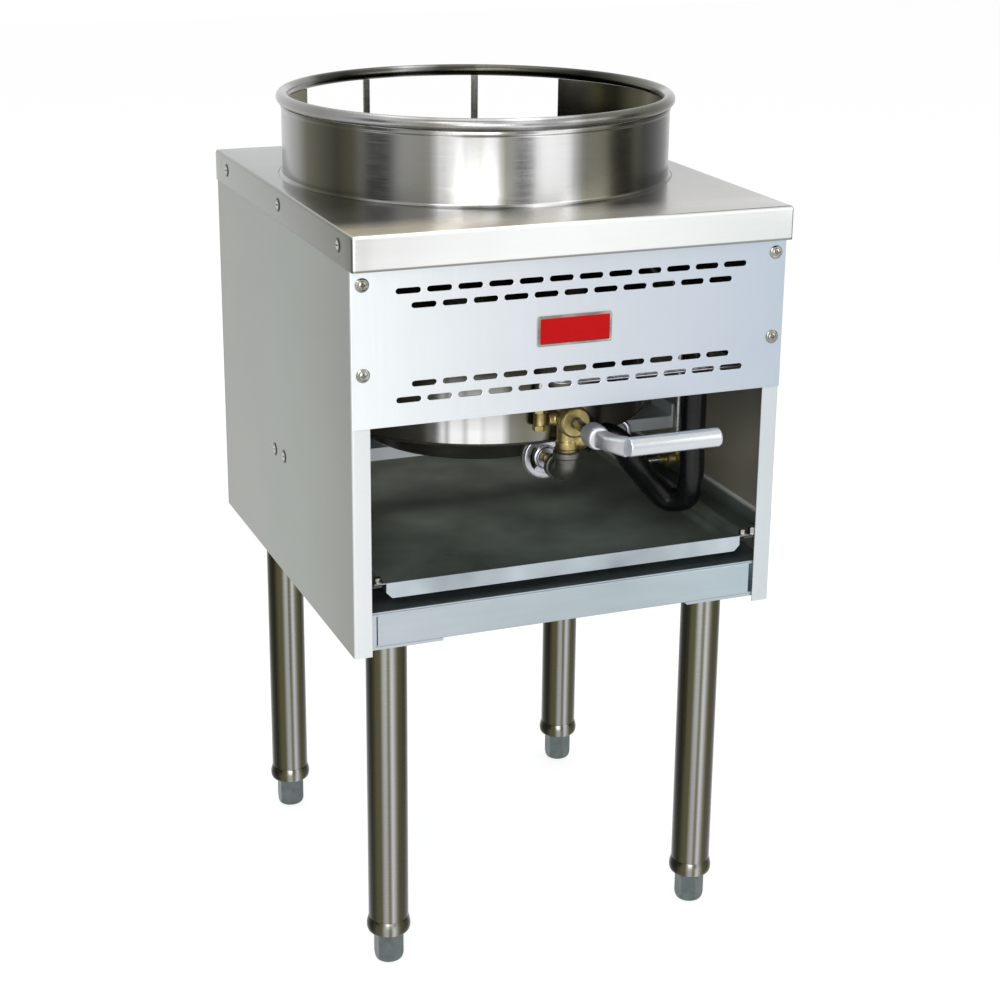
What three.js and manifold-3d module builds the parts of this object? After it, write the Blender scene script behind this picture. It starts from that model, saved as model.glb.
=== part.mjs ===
// Wok range: an open-front gas range for one wok, on four adjustable tube legs.
//
// Frame: millimetres, +Z up, the front faces -Y, z = 0 is the floor and x = y = 0 is
// the middle of the cabinet. The wok sits in the ring on top, the burner hangs in the
// drum below it, and a lever valve behind the open front feeds it with gas.

import * as THREE from 'three';
import { mergeVertices } from 'three/addons/utils/BufferGeometryUtils.js';
import Module from 'manifold-3d';

const wasm = await Module();
wasm.setup();

// ---------------------------------------------------------------- driving dimensions

const SHEET = 1.5;                 // stainless sheet of the casing
const FIT = 0.3;                   // running or assembly clearance between two pieces
const ROUND = 64;                  // facets round the wok ring and the drum

// casing
const BODY_WIDTH = 457;
const BODY_DEPTH = 495;
const CABINET_BOTTOM = 375;
const DECK_TOP = 798;
const DECK_FLANGE = 34;            // height of the rim folded down round the deck
const DECK_FRONT_OVERHANG = 12;
const DECK_BEND = 3.5;             // outer bend radius of the deck's folds
const SCREW_RADIUS = 3.6;          // screw heads in the deck's side rims
const SCREW_PROUD = 1.5;
const SCREW_DROP = 15.4;           // below the deck's top
const SCREW_INSETS = [41.5, 247.5, 456.5];  // behind the deck's front edge
const POST_WIDTH = 18.5;           // side panels' front and rear returns
const FRONT_PANEL_BOTTOM = 610;
const FRONT_PANEL_RETURN = 15;     // stiffening fold at the panel's lower edge
const SIDE_BEND = 2.5;

// louvre slots of the front panel
const SLOT_LENGTH = 25;
const SLOT_HEIGHT = 5.7;
const SLOT_PITCH = 31.2;
const SLOT_ROWS = [
  { rise: 131.6, count: 12 },        // rise above the panel's lower edge
  { rise: 117.0, count: 11 },
  { rise: 40.5, count: 11 },
  { rise: 25.5, count: 12 },
];

// wok ring
const RING_Y = 26;                 // centre of ring, drum and burner
const RING_SIDE_ROOM = 22.5;       // between the ring's wall and the cabinet's side
const RING_WALL = 2;
const RING_FOOT = 4;               // foot turned out in the deck's opening
const RIM_RISE = 81;               // centre of the rolled rim tube above the deck
const RIM_TUBE = 12.7;
const WINDOW_HALF_ANGLE = 46.5;    // degrees each side of +Y
const WINDOW_TURN = -2;            // degrees from +Y to the window's middle, right is minus
const WINDOW_SILL = 14;            // height of the sill above the deck
const STRUT_ANGLE = 18.5;
const STRUT_WIDTH = 8;
const STRUT_THICK = 3;

// drum and its base
const DRUM_INSET = 16;             // drum inside the ring's radius
const DRUM_WALL = 2;
const DRUM_BOTTOM = 558;
const DRUM_LEDGE = 8;              // the drum's flange reaches this far under the deck
const BASE_BOTTOM = 541;
const BASE_FLOOR_INSET = 16;       // the base's flat floor inside the drum's radius
const BASE_OPENING = 76;

// bottom frame and legs
const RAIL_BOTTOM = 383.5;
const RAIL_HEIGHT = 35;
const RAIL_DEPTH = 25;             // flange depth of the front and rear rails
const SIDE_RAIL_DEPTH = 21.5;
const LEG_SIDE_INSET = 50.5;       // leg axes in from the side panels' outer faces
const LEG_FRONT_INSET = 54.5;
const LEG_REAR_INSET = 62.5;
const LEG_RADIUS = 21.1;
const LEG_WALL = 1.5;
const LEG_FACETS = 24;
const LEG_PLATE = 3;
const LEG_PLATE_IN = 43;           // plate reach past the leg's axis, towards the middle
const COLLAR_BOTTOM = 35;
const COLLAR_TOP = 52;
const COLLAR_RADIUS = 23.2;
const COLLAR_PLUG = 14;            // length of the plug inside the tube
const FOOT_HEX = 16;               // radius over the corners
const FOOT_HEIGHT = 34;
const STUD_RADIUS = 6;
const STUD_LENGTH = 46;            // thread above the hexagon

// drip tray and its runners
const TRAY_SIDE_ROOM = 33;         // between the pan and the side panels' inner faces
const TRAY_BOTTOM = 433;
const TRAY_HEIGHT = 16;
const TRAY_SHEET = 1.2;
const TRAY_FRONT_INSET = 3.5;
const TRAY_REAR_ROOM = 47.5;
const TRAY_FLANGE = 12;
const TRAY_CHAMFER = 6;            // fold between the pan's floor and its sides
const RUNNER_LEG = 28;
const RUNNER_UPSTAND = 20;

// burner
const BRACKET_FRONT = -14;
const BRACKET_WIDTH = 52;
const BRACKET_BOTTOM = 497;
const BRACKET_HEIGHT = 14;
const BRACKET_SHEET = 2;
const BRACKET_TAB = 28;
const MIX_RADIUS = 15;
const MIX_BORE = 12.5;
const MIX_BEND = 30;
const MIX_MOUTH_BEHIND = 58;       // mouth of the mixing tube behind the valve's axis
const MIX_MOUTH_RADIUS = 23;
const MIX_MOUTH_LENGTH = 18;
const MIX_MOUTH_WALL = 2.5;
const MIX_TOP = 590;
const HEAD_RADIUS = 58;
const HEAD_HEIGHT = 32;
const CROWN_THICK = 3;
const JET_RADIUS = 4.5;
const JET_HEIGHT = 17;
const JET_ROWS = [
  { radius: 46, count: 16 },
  { radius: 27, count: 8 },
];
const SHUTTER_RADIUS = 24;
const SHUTTER_THICK = 4;
const SHUTTER_HUB = 11;
const SHUTTER_HUB_LENGTH = 4;

// valve train
const VALVE_X = 25;
const VALVE_ROOM = 11;             // between the drum and the valve's upright axis
const VALVE_Z = 577;               // axis of the stem
const BURNER_AXIS_Z = 517;         // axis of elbow, spud, shutter and mixing tube
const COLUMN_RADIUS = 11.5;
const BARREL_RADIUS = 14;
const BARREL_AHEAD = 13;           // reach of the barrel before and behind that axis
const BARREL_BEHIND = 8;
const BONNET_LENGTH = 11;
const BONNET_RADIUS = 16.5;
const PORT_Z = 552;
const PORT_RADIUS = 11;
const PORT_END = 45;
const ELBOW_RADIUS = 12;
const ELBOW_BAND = 14;
const ELBOW_TOP = 540;
const ELBOW_REACH = 27;            // end of the elbow behind the valve's axis
const SPUD_HEX = 9;
const SPUD_NOZZLE = 5;
const STEM_RADIUS = 5.5;
const HUB_GAP = 61;                // back of the hub before the valve's axis
const HUB_LENGTH = 22;
const HUB_RADIUS = 12.5;
const GRIP_AHEAD = 115;            // grip axis before the valve's axis
const GRIP_RADIUS = 10;
const GRIP_START = 40;
const GRIP_END = 140;
const ARM_HALF_HEIGHT = 9;

// gas supply
const PIPE_RADIUS = 13.35;
const PIPE_BORE = 10.45;
const UNION_LENGTH = 20;
const UNION_RADIUS = 16;
const PIPE_SIDE_ROOM = 17;         // pipe axis in from the right side panel's inner face
const PIPE_RUN_Z = 690;
const PIPE_RISE_ROOM = 63;         // the same for the upright run behind the front panel
const PIPE_RISE_AHEAD = 11;        // and its place before the valve's axis
const INLET_ROOM = 41;             // the inlet leaves beside the rear post
const COUPLING_RADIUS = 16.5;
const COUPLING_LENGTH = 30;
const INLET_END = 300;             // reach of the inlet behind the middle of the cabinet
const CLIP_WIDTH = 16;
const CLIP_Y = 0;

// pilot
const PILOT_VALVE_Y = -60;
const PILOT_VALVE_Z = 477;
const PILOT_VALVE_RADIUS = 9;
const PILOT_VALVE_ROOM = 31;       // length of the pilot valve out from the side panel
const PILOT_TUBE_RADIUS = 3;
const PILOT_X = 62;
const PILOT_Y = -2;
const PILOT_TOP = 640;

// ---------------------------------------------------------------- derived dimensions

const SIDE_OUT = BODY_WIDTH / 2;                       // outer faces of the side panels
const SIDE_IN = SIDE_OUT - SHEET;
const POST_EDGE = SIDE_OUT - POST_WIDTH;
const BODY_FRONT = -BODY_DEPTH / 2;
const BODY_BACK = BODY_DEPTH / 2;
const DECK_UNDER = DECK_TOP - SHEET;
const RING_RADIUS = SIDE_OUT - RING_SIDE_ROOM;         // outside of the wall
const DRUM_RADIUS = RING_RADIUS - DRUM_INSET;
const VALVE_Y = RING_Y - DRUM_RADIUS - VALVE_ROOM;
const BARREL_FRONT = VALVE_Y - BARREL_AHEAD;
const BARREL_BACK = VALVE_Y + BARREL_BEHIND;
const ELBOW_END = VALVE_Y + ELBOW_REACH;
const HUB_BACK = VALVE_Y - HUB_GAP;
const HUB_FRONT = HUB_BACK - HUB_LENGTH;
const GRIP_Y = VALVE_Y - GRIP_AHEAD;
const MIX_MOUTH_Y = VALVE_Y + MIX_MOUTH_BEHIND;
const LEG_X = SIDE_OUT - LEG_SIDE_INSET;
const LEG_FRONT_Y = BODY_FRONT + LEG_FRONT_INSET;
const LEG_REAR_Y = BODY_BACK - LEG_REAR_INSET;
const TRAY_HALF_WIDTH = SIDE_IN - TRAY_SIDE_ROOM;
const TRAY_FRONT = BODY_FRONT + TRAY_FRONT_INSET;
const TRAY_BACK = BODY_BACK - TRAY_REAR_ROOM;
const PIPE_SIDE_X = SIDE_IN - PIPE_SIDE_ROOM;
const PIPE_RISE_X = SIDE_IN - PIPE_RISE_ROOM;
const PIPE_RISE_Y = VALVE_Y - PIPE_RISE_AHEAD;
const INLET_X = SIDE_IN - INLET_ROOM;
const PILOT_VALVE_START = SIDE_IN - PILOT_VALVE_ROOM;
const PANEL_TOP = DECK_TOP - DECK_BEND - 0.5;          // clear of the deck's inner bend
const DRUM_BORE = DRUM_RADIUS - DRUM_WALL;
const BASE_FLOOR_RADIUS = DRUM_RADIUS - BASE_FLOOR_INSET;
const RING_SEAT = RING_RADIUS + RING_FOOT;             // outside of the ring's foot
const RIM_RADIUS = RING_RADIUS - RING_WALL / 2;
const RIM_Z = DECK_TOP + RIM_RISE;
const RING_TOP = RIM_Z - RIM_TUBE / 2 - FIT;
const TRAY_TOP = TRAY_BOTTOM + TRAY_HEIGHT;
const HEAD_TOP = MIX_TOP + HEAD_HEIGHT;

// ---------------------------------------------------------------- materials

const metal = (color, roughness, metalness = 0.9) =>
  new THREE.MeshStandardMaterial({ color, roughness, metalness });

const MATERIALS = {
  deck: metal(0xc9c8c2, 0.32),
  side: metal(0xa3a69e, 0.45),
  front: metal(0xdde5ea, 0.4),
  ring: metal(0xa9a6a0, 0.3),
  rim: metal(0xc4c2bd, 0.2),
  drum: metal(0xb8b2a6, 0.15),
  base: metal(0x2c2b26, 0.6, 0.6),
  galvanised: metal(0xb0b8c2, 0.5),
  leg: metal(0xb5b4a8, 0.25),
  foot: metal(0x9c9c94, 0.35),
  iron: metal(0x3a3733, 0.8, 0.5),
  brass: metal(0xc8a55a, 0.3),
  malleable: metal(0x5f5f5a, 0.5, 0.7),
  aluminium: metal(0xcdcfd7, 0.35),
  black: metal(0x17181a, 0.35, 0.3),
  steel: metal(0x8c8c8c, 0.35),
};

// ---------------------------------------------------------------- geometry helpers

// A closed geometry becomes a solid: shared corners are merged, slivers dropped.
function solid(geometry) {
  const bare = geometry.clone();
  bare.deleteAttribute('normal');
  bare.deleteAttribute('uv');
  const merged = mergeVertices(bare, 1e-4);
  const corners = merged.index.array;
  const kept = [];
  for (let i = 0; i < corners.length; i += 3) {
    const [a, b, c] = [corners[i], corners[i + 1], corners[i + 2]];
    if (a !== b && b !== c && c !== a) kept.push(a, b, c);
  }
  const position = merged.attributes.position;
  if (enclosedVolume(position, kept) < 0) kept.reverse();
  return new wasm.Manifold(new wasm.Mesh({
    numProp: 3,
    vertProperties: new Float32Array(position.array),
    triVerts: new Uint32Array(kept),
  }));
}

// Six times the volume that a triangle list encloses: negative when it is inside out.
function enclosedVolume(position, triangles) {
  const [a, b, c] = [new THREE.Vector3(), new THREE.Vector3(), new THREE.Vector3()];
  let volume = 0;
  for (let i = 0; i < triangles.length; i += 3) {
    a.fromBufferAttribute(position, triangles[i]);
    b.fromBufferAttribute(position, triangles[i + 1]);
    c.fromBufferAttribute(position, triangles[i + 2]);
    volume += a.dot(b.cross(c));
  }
  return volume;
}

function geometryOf(body) {
  const mesh = body.getMesh();
  const geometry = new THREE.BufferGeometry();
  const stride = mesh.numProp;
  const points = new Float32Array((mesh.vertProperties.length / stride) * 3);
  for (let i = 0; i < points.length / 3; i++) {
    for (let k = 0; k < 3; k++) points[3 * i + k] = mesh.vertProperties[stride * i + k];
  }
  geometry.setAttribute('position', new THREE.BufferAttribute(points, 3));
  geometry.setIndex(new THREE.BufferAttribute(new Uint32Array(mesh.triVerts), 1));
  geometry.computeVertexNormals();
  return geometry;
}

const shapeOf = (points) => new THREE.Shape(points.map(([a, b]) => new THREE.Vector2(a, b)));

// Extrusions of an outline along Z, along Y (outline in x, z) or along X (outline in y, z).
function alongZ(outline, z0, z1) {
  const shape = outline instanceof THREE.Shape ? outline : shapeOf(outline);
  const geometry = new THREE.ExtrudeGeometry(shape, {
    depth: z1 - z0, bevelEnabled: false, curveSegments: 4,
  });
  return solid(geometry.translate(0, 0, z0));
}

function alongY(outline, y0, y1) {
  const shape = outline instanceof THREE.Shape ? outline : shapeOf(outline);
  const geometry = new THREE.ExtrudeGeometry(shape, {
    depth: y1 - y0, bevelEnabled: false, curveSegments: 4,
  });
  return solid(geometry.rotateX(Math.PI / 2).translate(0, y1, 0));
}

function alongX(outline, x0, x1) {
  const shape = outline instanceof THREE.Shape ? outline : shapeOf(outline);
  const geometry = new THREE.ExtrudeGeometry(shape, {
    depth: x1 - x0, bevelEnabled: false, curveSegments: 4,
  });
  const turn = new THREE.Matrix4().makeBasis(
    new THREE.Vector3(0, 1, 0), new THREE.Vector3(0, 0, 1), new THREE.Vector3(1, 0, 0));
  return solid(geometry.applyMatrix4(turn).translate(x0, 0, 0));
}

const box = (x0, x1, y0, y1, z0, z1) =>
  solid(new THREE.BoxGeometry(x1 - x0, y1 - y0, z1 - z0)
    .translate((x0 + x1) / 2, (y0 + y1) / 2, (z0 + z1) / 2));

// A closed profile of [radius, height] points turned about the vertical through (x, y).
function turned(profile, x, y, facets) {
  const points = profile.map(([r, z]) => new THREE.Vector2(r, z));
  if (profile[0][0] > 0 || profile.at(-1)[0] > 0) points.push(points[0].clone());
  return solid(new THREE.LatheGeometry(points, facets).rotateX(Math.PI / 2).translate(x, y, 0));
}

// The same about a level axis: along Y (profile heights are y) or along X (they are x).
function turnedY(profile, x, z, facets) {
  const points = profile.map(([r, y]) => new THREE.Vector2(r, y));
  if (profile[0][0] > 0 || profile.at(-1)[0] > 0) points.push(points[0].clone());
  return solid(new THREE.LatheGeometry(points, facets).translate(x, 0, z));
}

function turnedX(profile, y, z, facets) {
  const points = profile.map(([r, x]) => new THREE.Vector2(r, -x));
  if (profile[0][0] > 0 || profile.at(-1)[0] > 0) points.push(points[0].clone());
  return solid(new THREE.LatheGeometry(points, facets).rotateZ(Math.PI / 2).translate(0, y, z));
}

const rod = (radius, h0, h1) => [[0, h0], [radius, h0], [radius, h1], [0, h1]];
const tube = (outer, inner, h0, h1) => [[inner, h0], [outer, h0], [outer, h1], [inner, h1]];

// A round bar of one radius along a curve.
function swept(curve, radius, steps, sides) {
  const section = new THREE.Shape();
  for (let i = 0; i < sides; i++) {
    const angle = (2 * Math.PI * i) / sides;
    const [a, b] = [radius * Math.cos(angle), radius * Math.sin(angle)];
    if (i === 0) section.moveTo(a, b);
    else section.lineTo(a, b);
  }
  return solid(new THREE.ExtrudeGeometry(section, {
    steps, bevelEnabled: false, extrudePath: curve,
  }));
}

const curveThrough = (points) =>
  new THREE.CatmullRomCurve3(points.map((p) => new THREE.Vector3(...p)), false, 'centripetal');

// A centre line of straight runs joined by quarter-round bends of one radius.
function bentLine(points, bend) {
  const path = new THREE.CurvePath();
  const corners = points.map((p) => new THREE.Vector3(...p));
  let from = corners[0];
  for (let i = 1; i < corners.length - 1; i++) {
    const back = corners[i - 1].clone().sub(corners[i]).normalize();
    const ahead = corners[i + 1].clone().sub(corners[i]).normalize();
    const enter = corners[i].clone().addScaledVector(back, bend);
    const leave = corners[i].clone().addScaledVector(ahead, bend);
    path.add(new THREE.LineCurve3(from, enter));
    path.add(new THREE.QuadraticBezierCurve3(enter, corners[i], leave));
    from = leave;
  }
  path.add(new THREE.LineCurve3(from, corners.at(-1)));
  return path;
}

const mirrorX = (outline, side) => outline.map(([x, other]) => [side * x, other]);

function arc(cx, cy, radius, from, to, steps) {
  const points = [];
  for (let i = 0; i <= steps; i++) {
    const angle = THREE.MathUtils.degToRad(from + ((to - from) * i) / steps);
    points.push([cx + radius * Math.cos(angle), cy + radius * Math.sin(angle)]);
  }
  return points;
}

const range = new THREE.Group();

function add(name, body, material) {
  const mesh = new THREE.Mesh(geometryOf(body), material);
  mesh.name = name;
  range.add(mesh);
}

// ---------------------------------------------------------------- deck and wok ring

// The deck is one sheet folded down on four sides, so its block has rounded top edges.
function foldedBlock(halfWidth, front, back, top, bottom, bend) {
  const outline = shapeOf([
    [-halfWidth + bend, front + bend], [halfWidth - bend, front + bend],
    [halfWidth - bend, back - bend], [-halfWidth + bend, back - bend],
  ]);
  const geometry = new THREE.ExtrudeGeometry(outline, {
    depth: top - bottom, bevelEnabled: true, bevelThickness: bend, bevelSize: bend,
    bevelSegments: 4, curveSegments: 1,
  });
  const block = solid(geometry.translate(0, 0, bottom - bend));
  const reach = halfWidth + bend;
  return block.subtract(box(-reach, reach, front - bend, back + bend, bottom - 3 * bend, bottom));
}

const deckFront = BODY_FRONT - DECK_FRONT_OVERHANG;
const deckBack = BODY_BACK + SHEET;
const deckBottom = DECK_TOP - DECK_FLANGE;
const deckHalf = SIDE_OUT + SHEET;

const deckOuter = foldedBlock(deckHalf, deckFront, deckBack, DECK_TOP, deckBottom, DECK_BEND);
const deckInner = foldedBlock(SIDE_OUT, deckFront + SHEET, BODY_BACK, DECK_UNDER,
  deckBottom - SHEET, DECK_BEND - SHEET);
const deckOpening = turned(rod(RING_SEAT + FIT, DECK_UNDER - SHEET, DECK_TOP + SHEET), 0,
  RING_Y, ROUND);
let deck = deckOuter.subtract(deckInner).subtract(deckOpening);
for (const side of [-1, 1]) {
  const head = [side * (deckHalf - SHEET / 2), side * (deckHalf + SCREW_PROUD)]
    .sort((a, b) => a - b);
  for (const inset of SCREW_INSETS) {
    deck = deck.add(turnedX(rod(SCREW_RADIUS, ...head), deckFront + inset,
      DECK_TOP - SCREW_DROP, 10));
  }
}
add('top_cover', deck, MATERIALS.deck);

// The ring's foot fills the deck's opening and stands on the drum's flange. Its back is
// cut away between two radii, so that the flue gas leaves behind the cook.
const ringProfile = [
  [RING_RADIUS - RING_WALL, DECK_UNDER],
  [RING_SEAT, DECK_UNDER],
  [RING_SEAT, DECK_TOP],
  [RING_RADIUS, DECK_TOP + RING_FOOT],
  [RING_RADIUS, RING_TOP],
  [RING_RADIUS - RING_WALL, RING_TOP],
];
const windowReach = RING_RADIUS + 30;
const windowOutline = [
  [0, RING_Y],
  ...arc(0, RING_Y, windowReach, 90 + WINDOW_TURN - WINDOW_HALF_ANGLE,
    90 + WINDOW_TURN + WINDOW_HALF_ANGLE, 8),
];
const sillTop = DECK_TOP + WINDOW_SILL;
const ringWindow = alongZ(windowOutline, sillTop, RING_TOP + 5);
add('wok_ring', turned(ringProfile, 0, RING_Y, ROUND).subtract(ringWindow), MATERIALS.ring);

const rim = new THREE.TorusGeometry(RIM_RADIUS, RIM_TUBE / 2, 8, ROUND);
add('ring_rim', solid(rim.translate(0, RING_Y, RIM_Z)), MATERIALS.rim);

for (const [side, word] of [[1, 'left'], [-1, 'right']]) {
  const strut = new THREE.BoxGeometry(STRUT_WIDTH, STRUT_THICK, RING_TOP - sillTop)
    .translate(0, RIM_RADIUS, (RING_TOP + sillTop) / 2)
    .rotateZ(THREE.MathUtils.degToRad(side * STRUT_ANGLE + WINDOW_TURN))
    .translate(0, RING_Y, 0);
  add(`ring_strut_${word}`, solid(strut), MATERIALS.rim);
}

// ---------------------------------------------------------------- casing

// Side panel in plan: one sheet with a return folded in at the front and at the back.
const sideBack = BODY_BACK - SHEET;
const sideOutline = [
  [POST_EDGE, BODY_FRONT],
  ...arc(SIDE_OUT - SIDE_BEND, BODY_FRONT + SIDE_BEND, SIDE_BEND, -90, 0, 3),
  ...arc(SIDE_OUT - SIDE_BEND, sideBack - SIDE_BEND, SIDE_BEND, 0, 90, 3),
  [POST_EDGE, sideBack],
  [POST_EDGE, sideBack - SHEET],
  ...arc(SIDE_OUT - SIDE_BEND, sideBack - SIDE_BEND, SIDE_BEND - SHEET, 90, 0, 3),
  ...arc(SIDE_OUT - SIDE_BEND, BODY_FRONT + SIDE_BEND, SIDE_BEND - SHEET, 0, -90, 3),
  [POST_EDGE, BODY_FRONT + SHEET],
];
for (const [side, word] of [[-1, 'left'], [1, 'right']]) {
  const outline = mirrorX(sideOutline, side);
  add(`${word}_side_panel`, alongZ(outline, CABINET_BOTTOM, PANEL_TOP), MATERIALS.side);
}

// One obround slot, as an outline in x and z.
function slotOutline(x, z) {
  const end = SLOT_HEIGHT / 2;
  const reach = (SLOT_LENGTH - SLOT_HEIGHT) / 2;
  return [...arc(x + reach, z, end, -90, 90, 2), ...arc(x - reach, z, end, 90, 270, 2)];
}

const panelHalf = SIDE_OUT - FIT;
const panelPlate = shapeOf([
  [-panelHalf, FRONT_PANEL_BOTTOM], [panelHalf, FRONT_PANEL_BOTTOM],
  [panelHalf, PANEL_TOP], [-panelHalf, PANEL_TOP],
]);
for (const row of SLOT_ROWS) {
  for (let i = 0; i < row.count; i++) {
    const x = (i - (row.count - 1) / 2) * SLOT_PITCH;
    panelPlate.holes.push(shapeOf(slotOutline(x, FRONT_PANEL_BOTTOM + row.rise)));
  }
}
const panelFold = box(-POST_EDGE + FIT, POST_EDGE - FIT, BODY_FRONT - SHEET / 2,
  BODY_FRONT + FRONT_PANEL_RETURN, FRONT_PANEL_BOTTOM, FRONT_PANEL_BOTTOM + SHEET);
add('front_panel', alongY(panelPlate, BODY_FRONT - SHEET, BODY_FRONT).add(panelFold),
  MATERIALS.front);

const backPlate = shapeOf([
  [-panelHalf, CABINET_BOTTOM], [panelHalf, CABINET_BOTTOM],
  [panelHalf, PANEL_TOP], [-panelHalf, PANEL_TOP],
]);
backPlate.holes.push(shapeOf(arc(INLET_X, PIPE_RUN_Z, PIPE_RADIUS + FIT, 360, 15, 23)));
add('back_panel', alongY(backPlate, sideBack, BODY_BACK), MATERIALS.side);

// ---------------------------------------------------------------- bottom frame

// A channel section: its web at a, its two flanges reaching to b.
function channelOutline(a, b, bottom, top) {
  const inward = Math.sign(b - a) * SHEET;
  return [
    [a, bottom], [b, bottom], [b, bottom + SHEET], [a + inward, bottom + SHEET],
    [a + inward, top - SHEET], [b, top - SHEET], [b, top], [a, top],
  ];
}

const railTop = RAIL_BOTTOM + RAIL_HEIGHT;
const frontRailFace = BODY_FRONT + SHEET;
const rearRailFace = sideBack - SHEET;
const crossRailHalf = SIDE_IN - SIDE_RAIL_DEPTH - FIT;
const bendClear = SIDE_BEND - SHEET + FIT;             // clear of the side panels' inner bends
add('front_rail', alongX(channelOutline(frontRailFace, frontRailFace + RAIL_DEPTH,
  RAIL_BOTTOM, railTop), -crossRailHalf, crossRailHalf), MATERIALS.galvanised);
add('rear_rail', alongX(channelOutline(rearRailFace, rearRailFace - RAIL_DEPTH,
  RAIL_BOTTOM, railTop), -crossRailHalf, crossRailHalf), MATERIALS.galvanised);
for (const [side, word] of [[-1, 'left'], [1, 'right']]) {
  const outline = channelOutline(side * SIDE_IN, side * (SIDE_IN - SIDE_RAIL_DEPTH),
    RAIL_BOTTOM, railTop);
  add(`${word}_rail`, alongY(outline, frontRailFace + bendClear, rearRailFace - bendClear),
    MATERIALS.galvanised);
}

// A sheet on the rails closes the cabinet under the tray.
add('bottom_panel', box(-SIDE_IN + FIT, SIDE_IN - FIT, frontRailFace + bendClear,
  rearRailFace - bendClear, railTop, railTop + SHEET), MATERIALS.galvanised);

// ---------------------------------------------------------------- legs

const plateBottom = RAIL_BOTTOM - LEG_PLATE;
const collarBore = STUD_RADIUS + FIT;
const collarProfile = [
  [collarBore, COLLAR_BOTTOM], [COLLAR_RADIUS - 4, COLLAR_BOTTOM],
  [COLLAR_RADIUS - 1, COLLAR_BOTTOM + 2], [COLLAR_RADIUS, COLLAR_BOTTOM + 6],
  [COLLAR_RADIUS, COLLAR_TOP - 5], [LEG_RADIUS, COLLAR_TOP],
  [LEG_RADIUS - LEG_WALL - FIT, COLLAR_TOP],
  [LEG_RADIUS - LEG_WALL - FIT, COLLAR_TOP + COLLAR_PLUG],
  [collarBore, COLLAR_TOP + COLLAR_PLUG],
];
const footProfile = [
  [0, 0], [FOOT_HEX - 6, 0], [FOOT_HEX - 2, 2], [FOOT_HEX, 7], [FOOT_HEX, FOOT_HEIGHT - 3],
  [FOOT_HEX - 2, FOOT_HEIGHT], [0, FOOT_HEIGHT],
];
for (const [legY, place] of [[LEG_FRONT_Y, 'front'], [LEG_REAR_Y, 'rear']]) {
  for (const [side, word] of [[-1, 'left'], [1, 'right']]) {
    const x = side * LEG_X;
    const corner = legY < 0 ? frontRailFace + bendClear : rearRailFace - bendClear;
    const plateX = [x - side * LEG_PLATE_IN, side * SIDE_IN].sort((a, b) => a - b);
    const plateY = [legY - Math.sign(legY) * LEG_PLATE_IN, corner].sort((a, b) => a - b);
    add(`leg_plate_${place}_${word}`,
      box(plateX[0], plateX[1], plateY[0], plateY[1], plateBottom, RAIL_BOTTOM),
      MATERIALS.galvanised);
    add(`leg_tube_${place}_${word}`,
      turned(tube(LEG_RADIUS, LEG_RADIUS - LEG_WALL, COLLAR_TOP, plateBottom), x, legY, LEG_FACETS),
      MATERIALS.leg);
    add(`leg_collar_${place}_${word}`, turned(collarProfile, x, legY, LEG_FACETS), MATERIALS.leg);
    const stud = rod(STUD_RADIUS, FOOT_HEIGHT - 1, FOOT_HEIGHT + STUD_LENGTH);
    add(`foot_${place}_${word}`,
      turned(footProfile, x, legY, 6).add(turned(stud, x, legY, 10)), MATERIALS.foot);
  }
}

// ---------------------------------------------------------------- drum

const drumProfile = [
  [DRUM_BORE, DRUM_BOTTOM], [DRUM_RADIUS, DRUM_BOTTOM],
  [DRUM_RADIUS, DECK_UNDER - DRUM_WALL], [RING_SEAT + DRUM_LEDGE, DECK_UNDER - DRUM_WALL],
  [RING_SEAT + DRUM_LEDGE, DECK_UNDER], [DRUM_BORE, DECK_UNDER],
];
add('combustion_drum', turned(drumProfile, 0, RING_Y, ROUND), MATERIALS.drum);

const baseProfile = [
  [DRUM_BORE, DRUM_BOTTOM], [DRUM_RADIUS, DRUM_BOTTOM], [DRUM_RADIUS, DRUM_BOTTOM - 5],
  [BASE_FLOOR_RADIUS, BASE_BOTTOM], [BASE_OPENING, BASE_BOTTOM],
  [BASE_OPENING, BASE_BOTTOM + DRUM_WALL], [BASE_FLOOR_RADIUS - 1, BASE_BOTTOM + DRUM_WALL],
  [DRUM_BORE, DRUM_BOTTOM - 5 + DRUM_WALL],
];
add('drum_base', turned(baseProfile, 0, RING_Y, ROUND), MATERIALS.base);

// ---------------------------------------------------------------- burner

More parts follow.
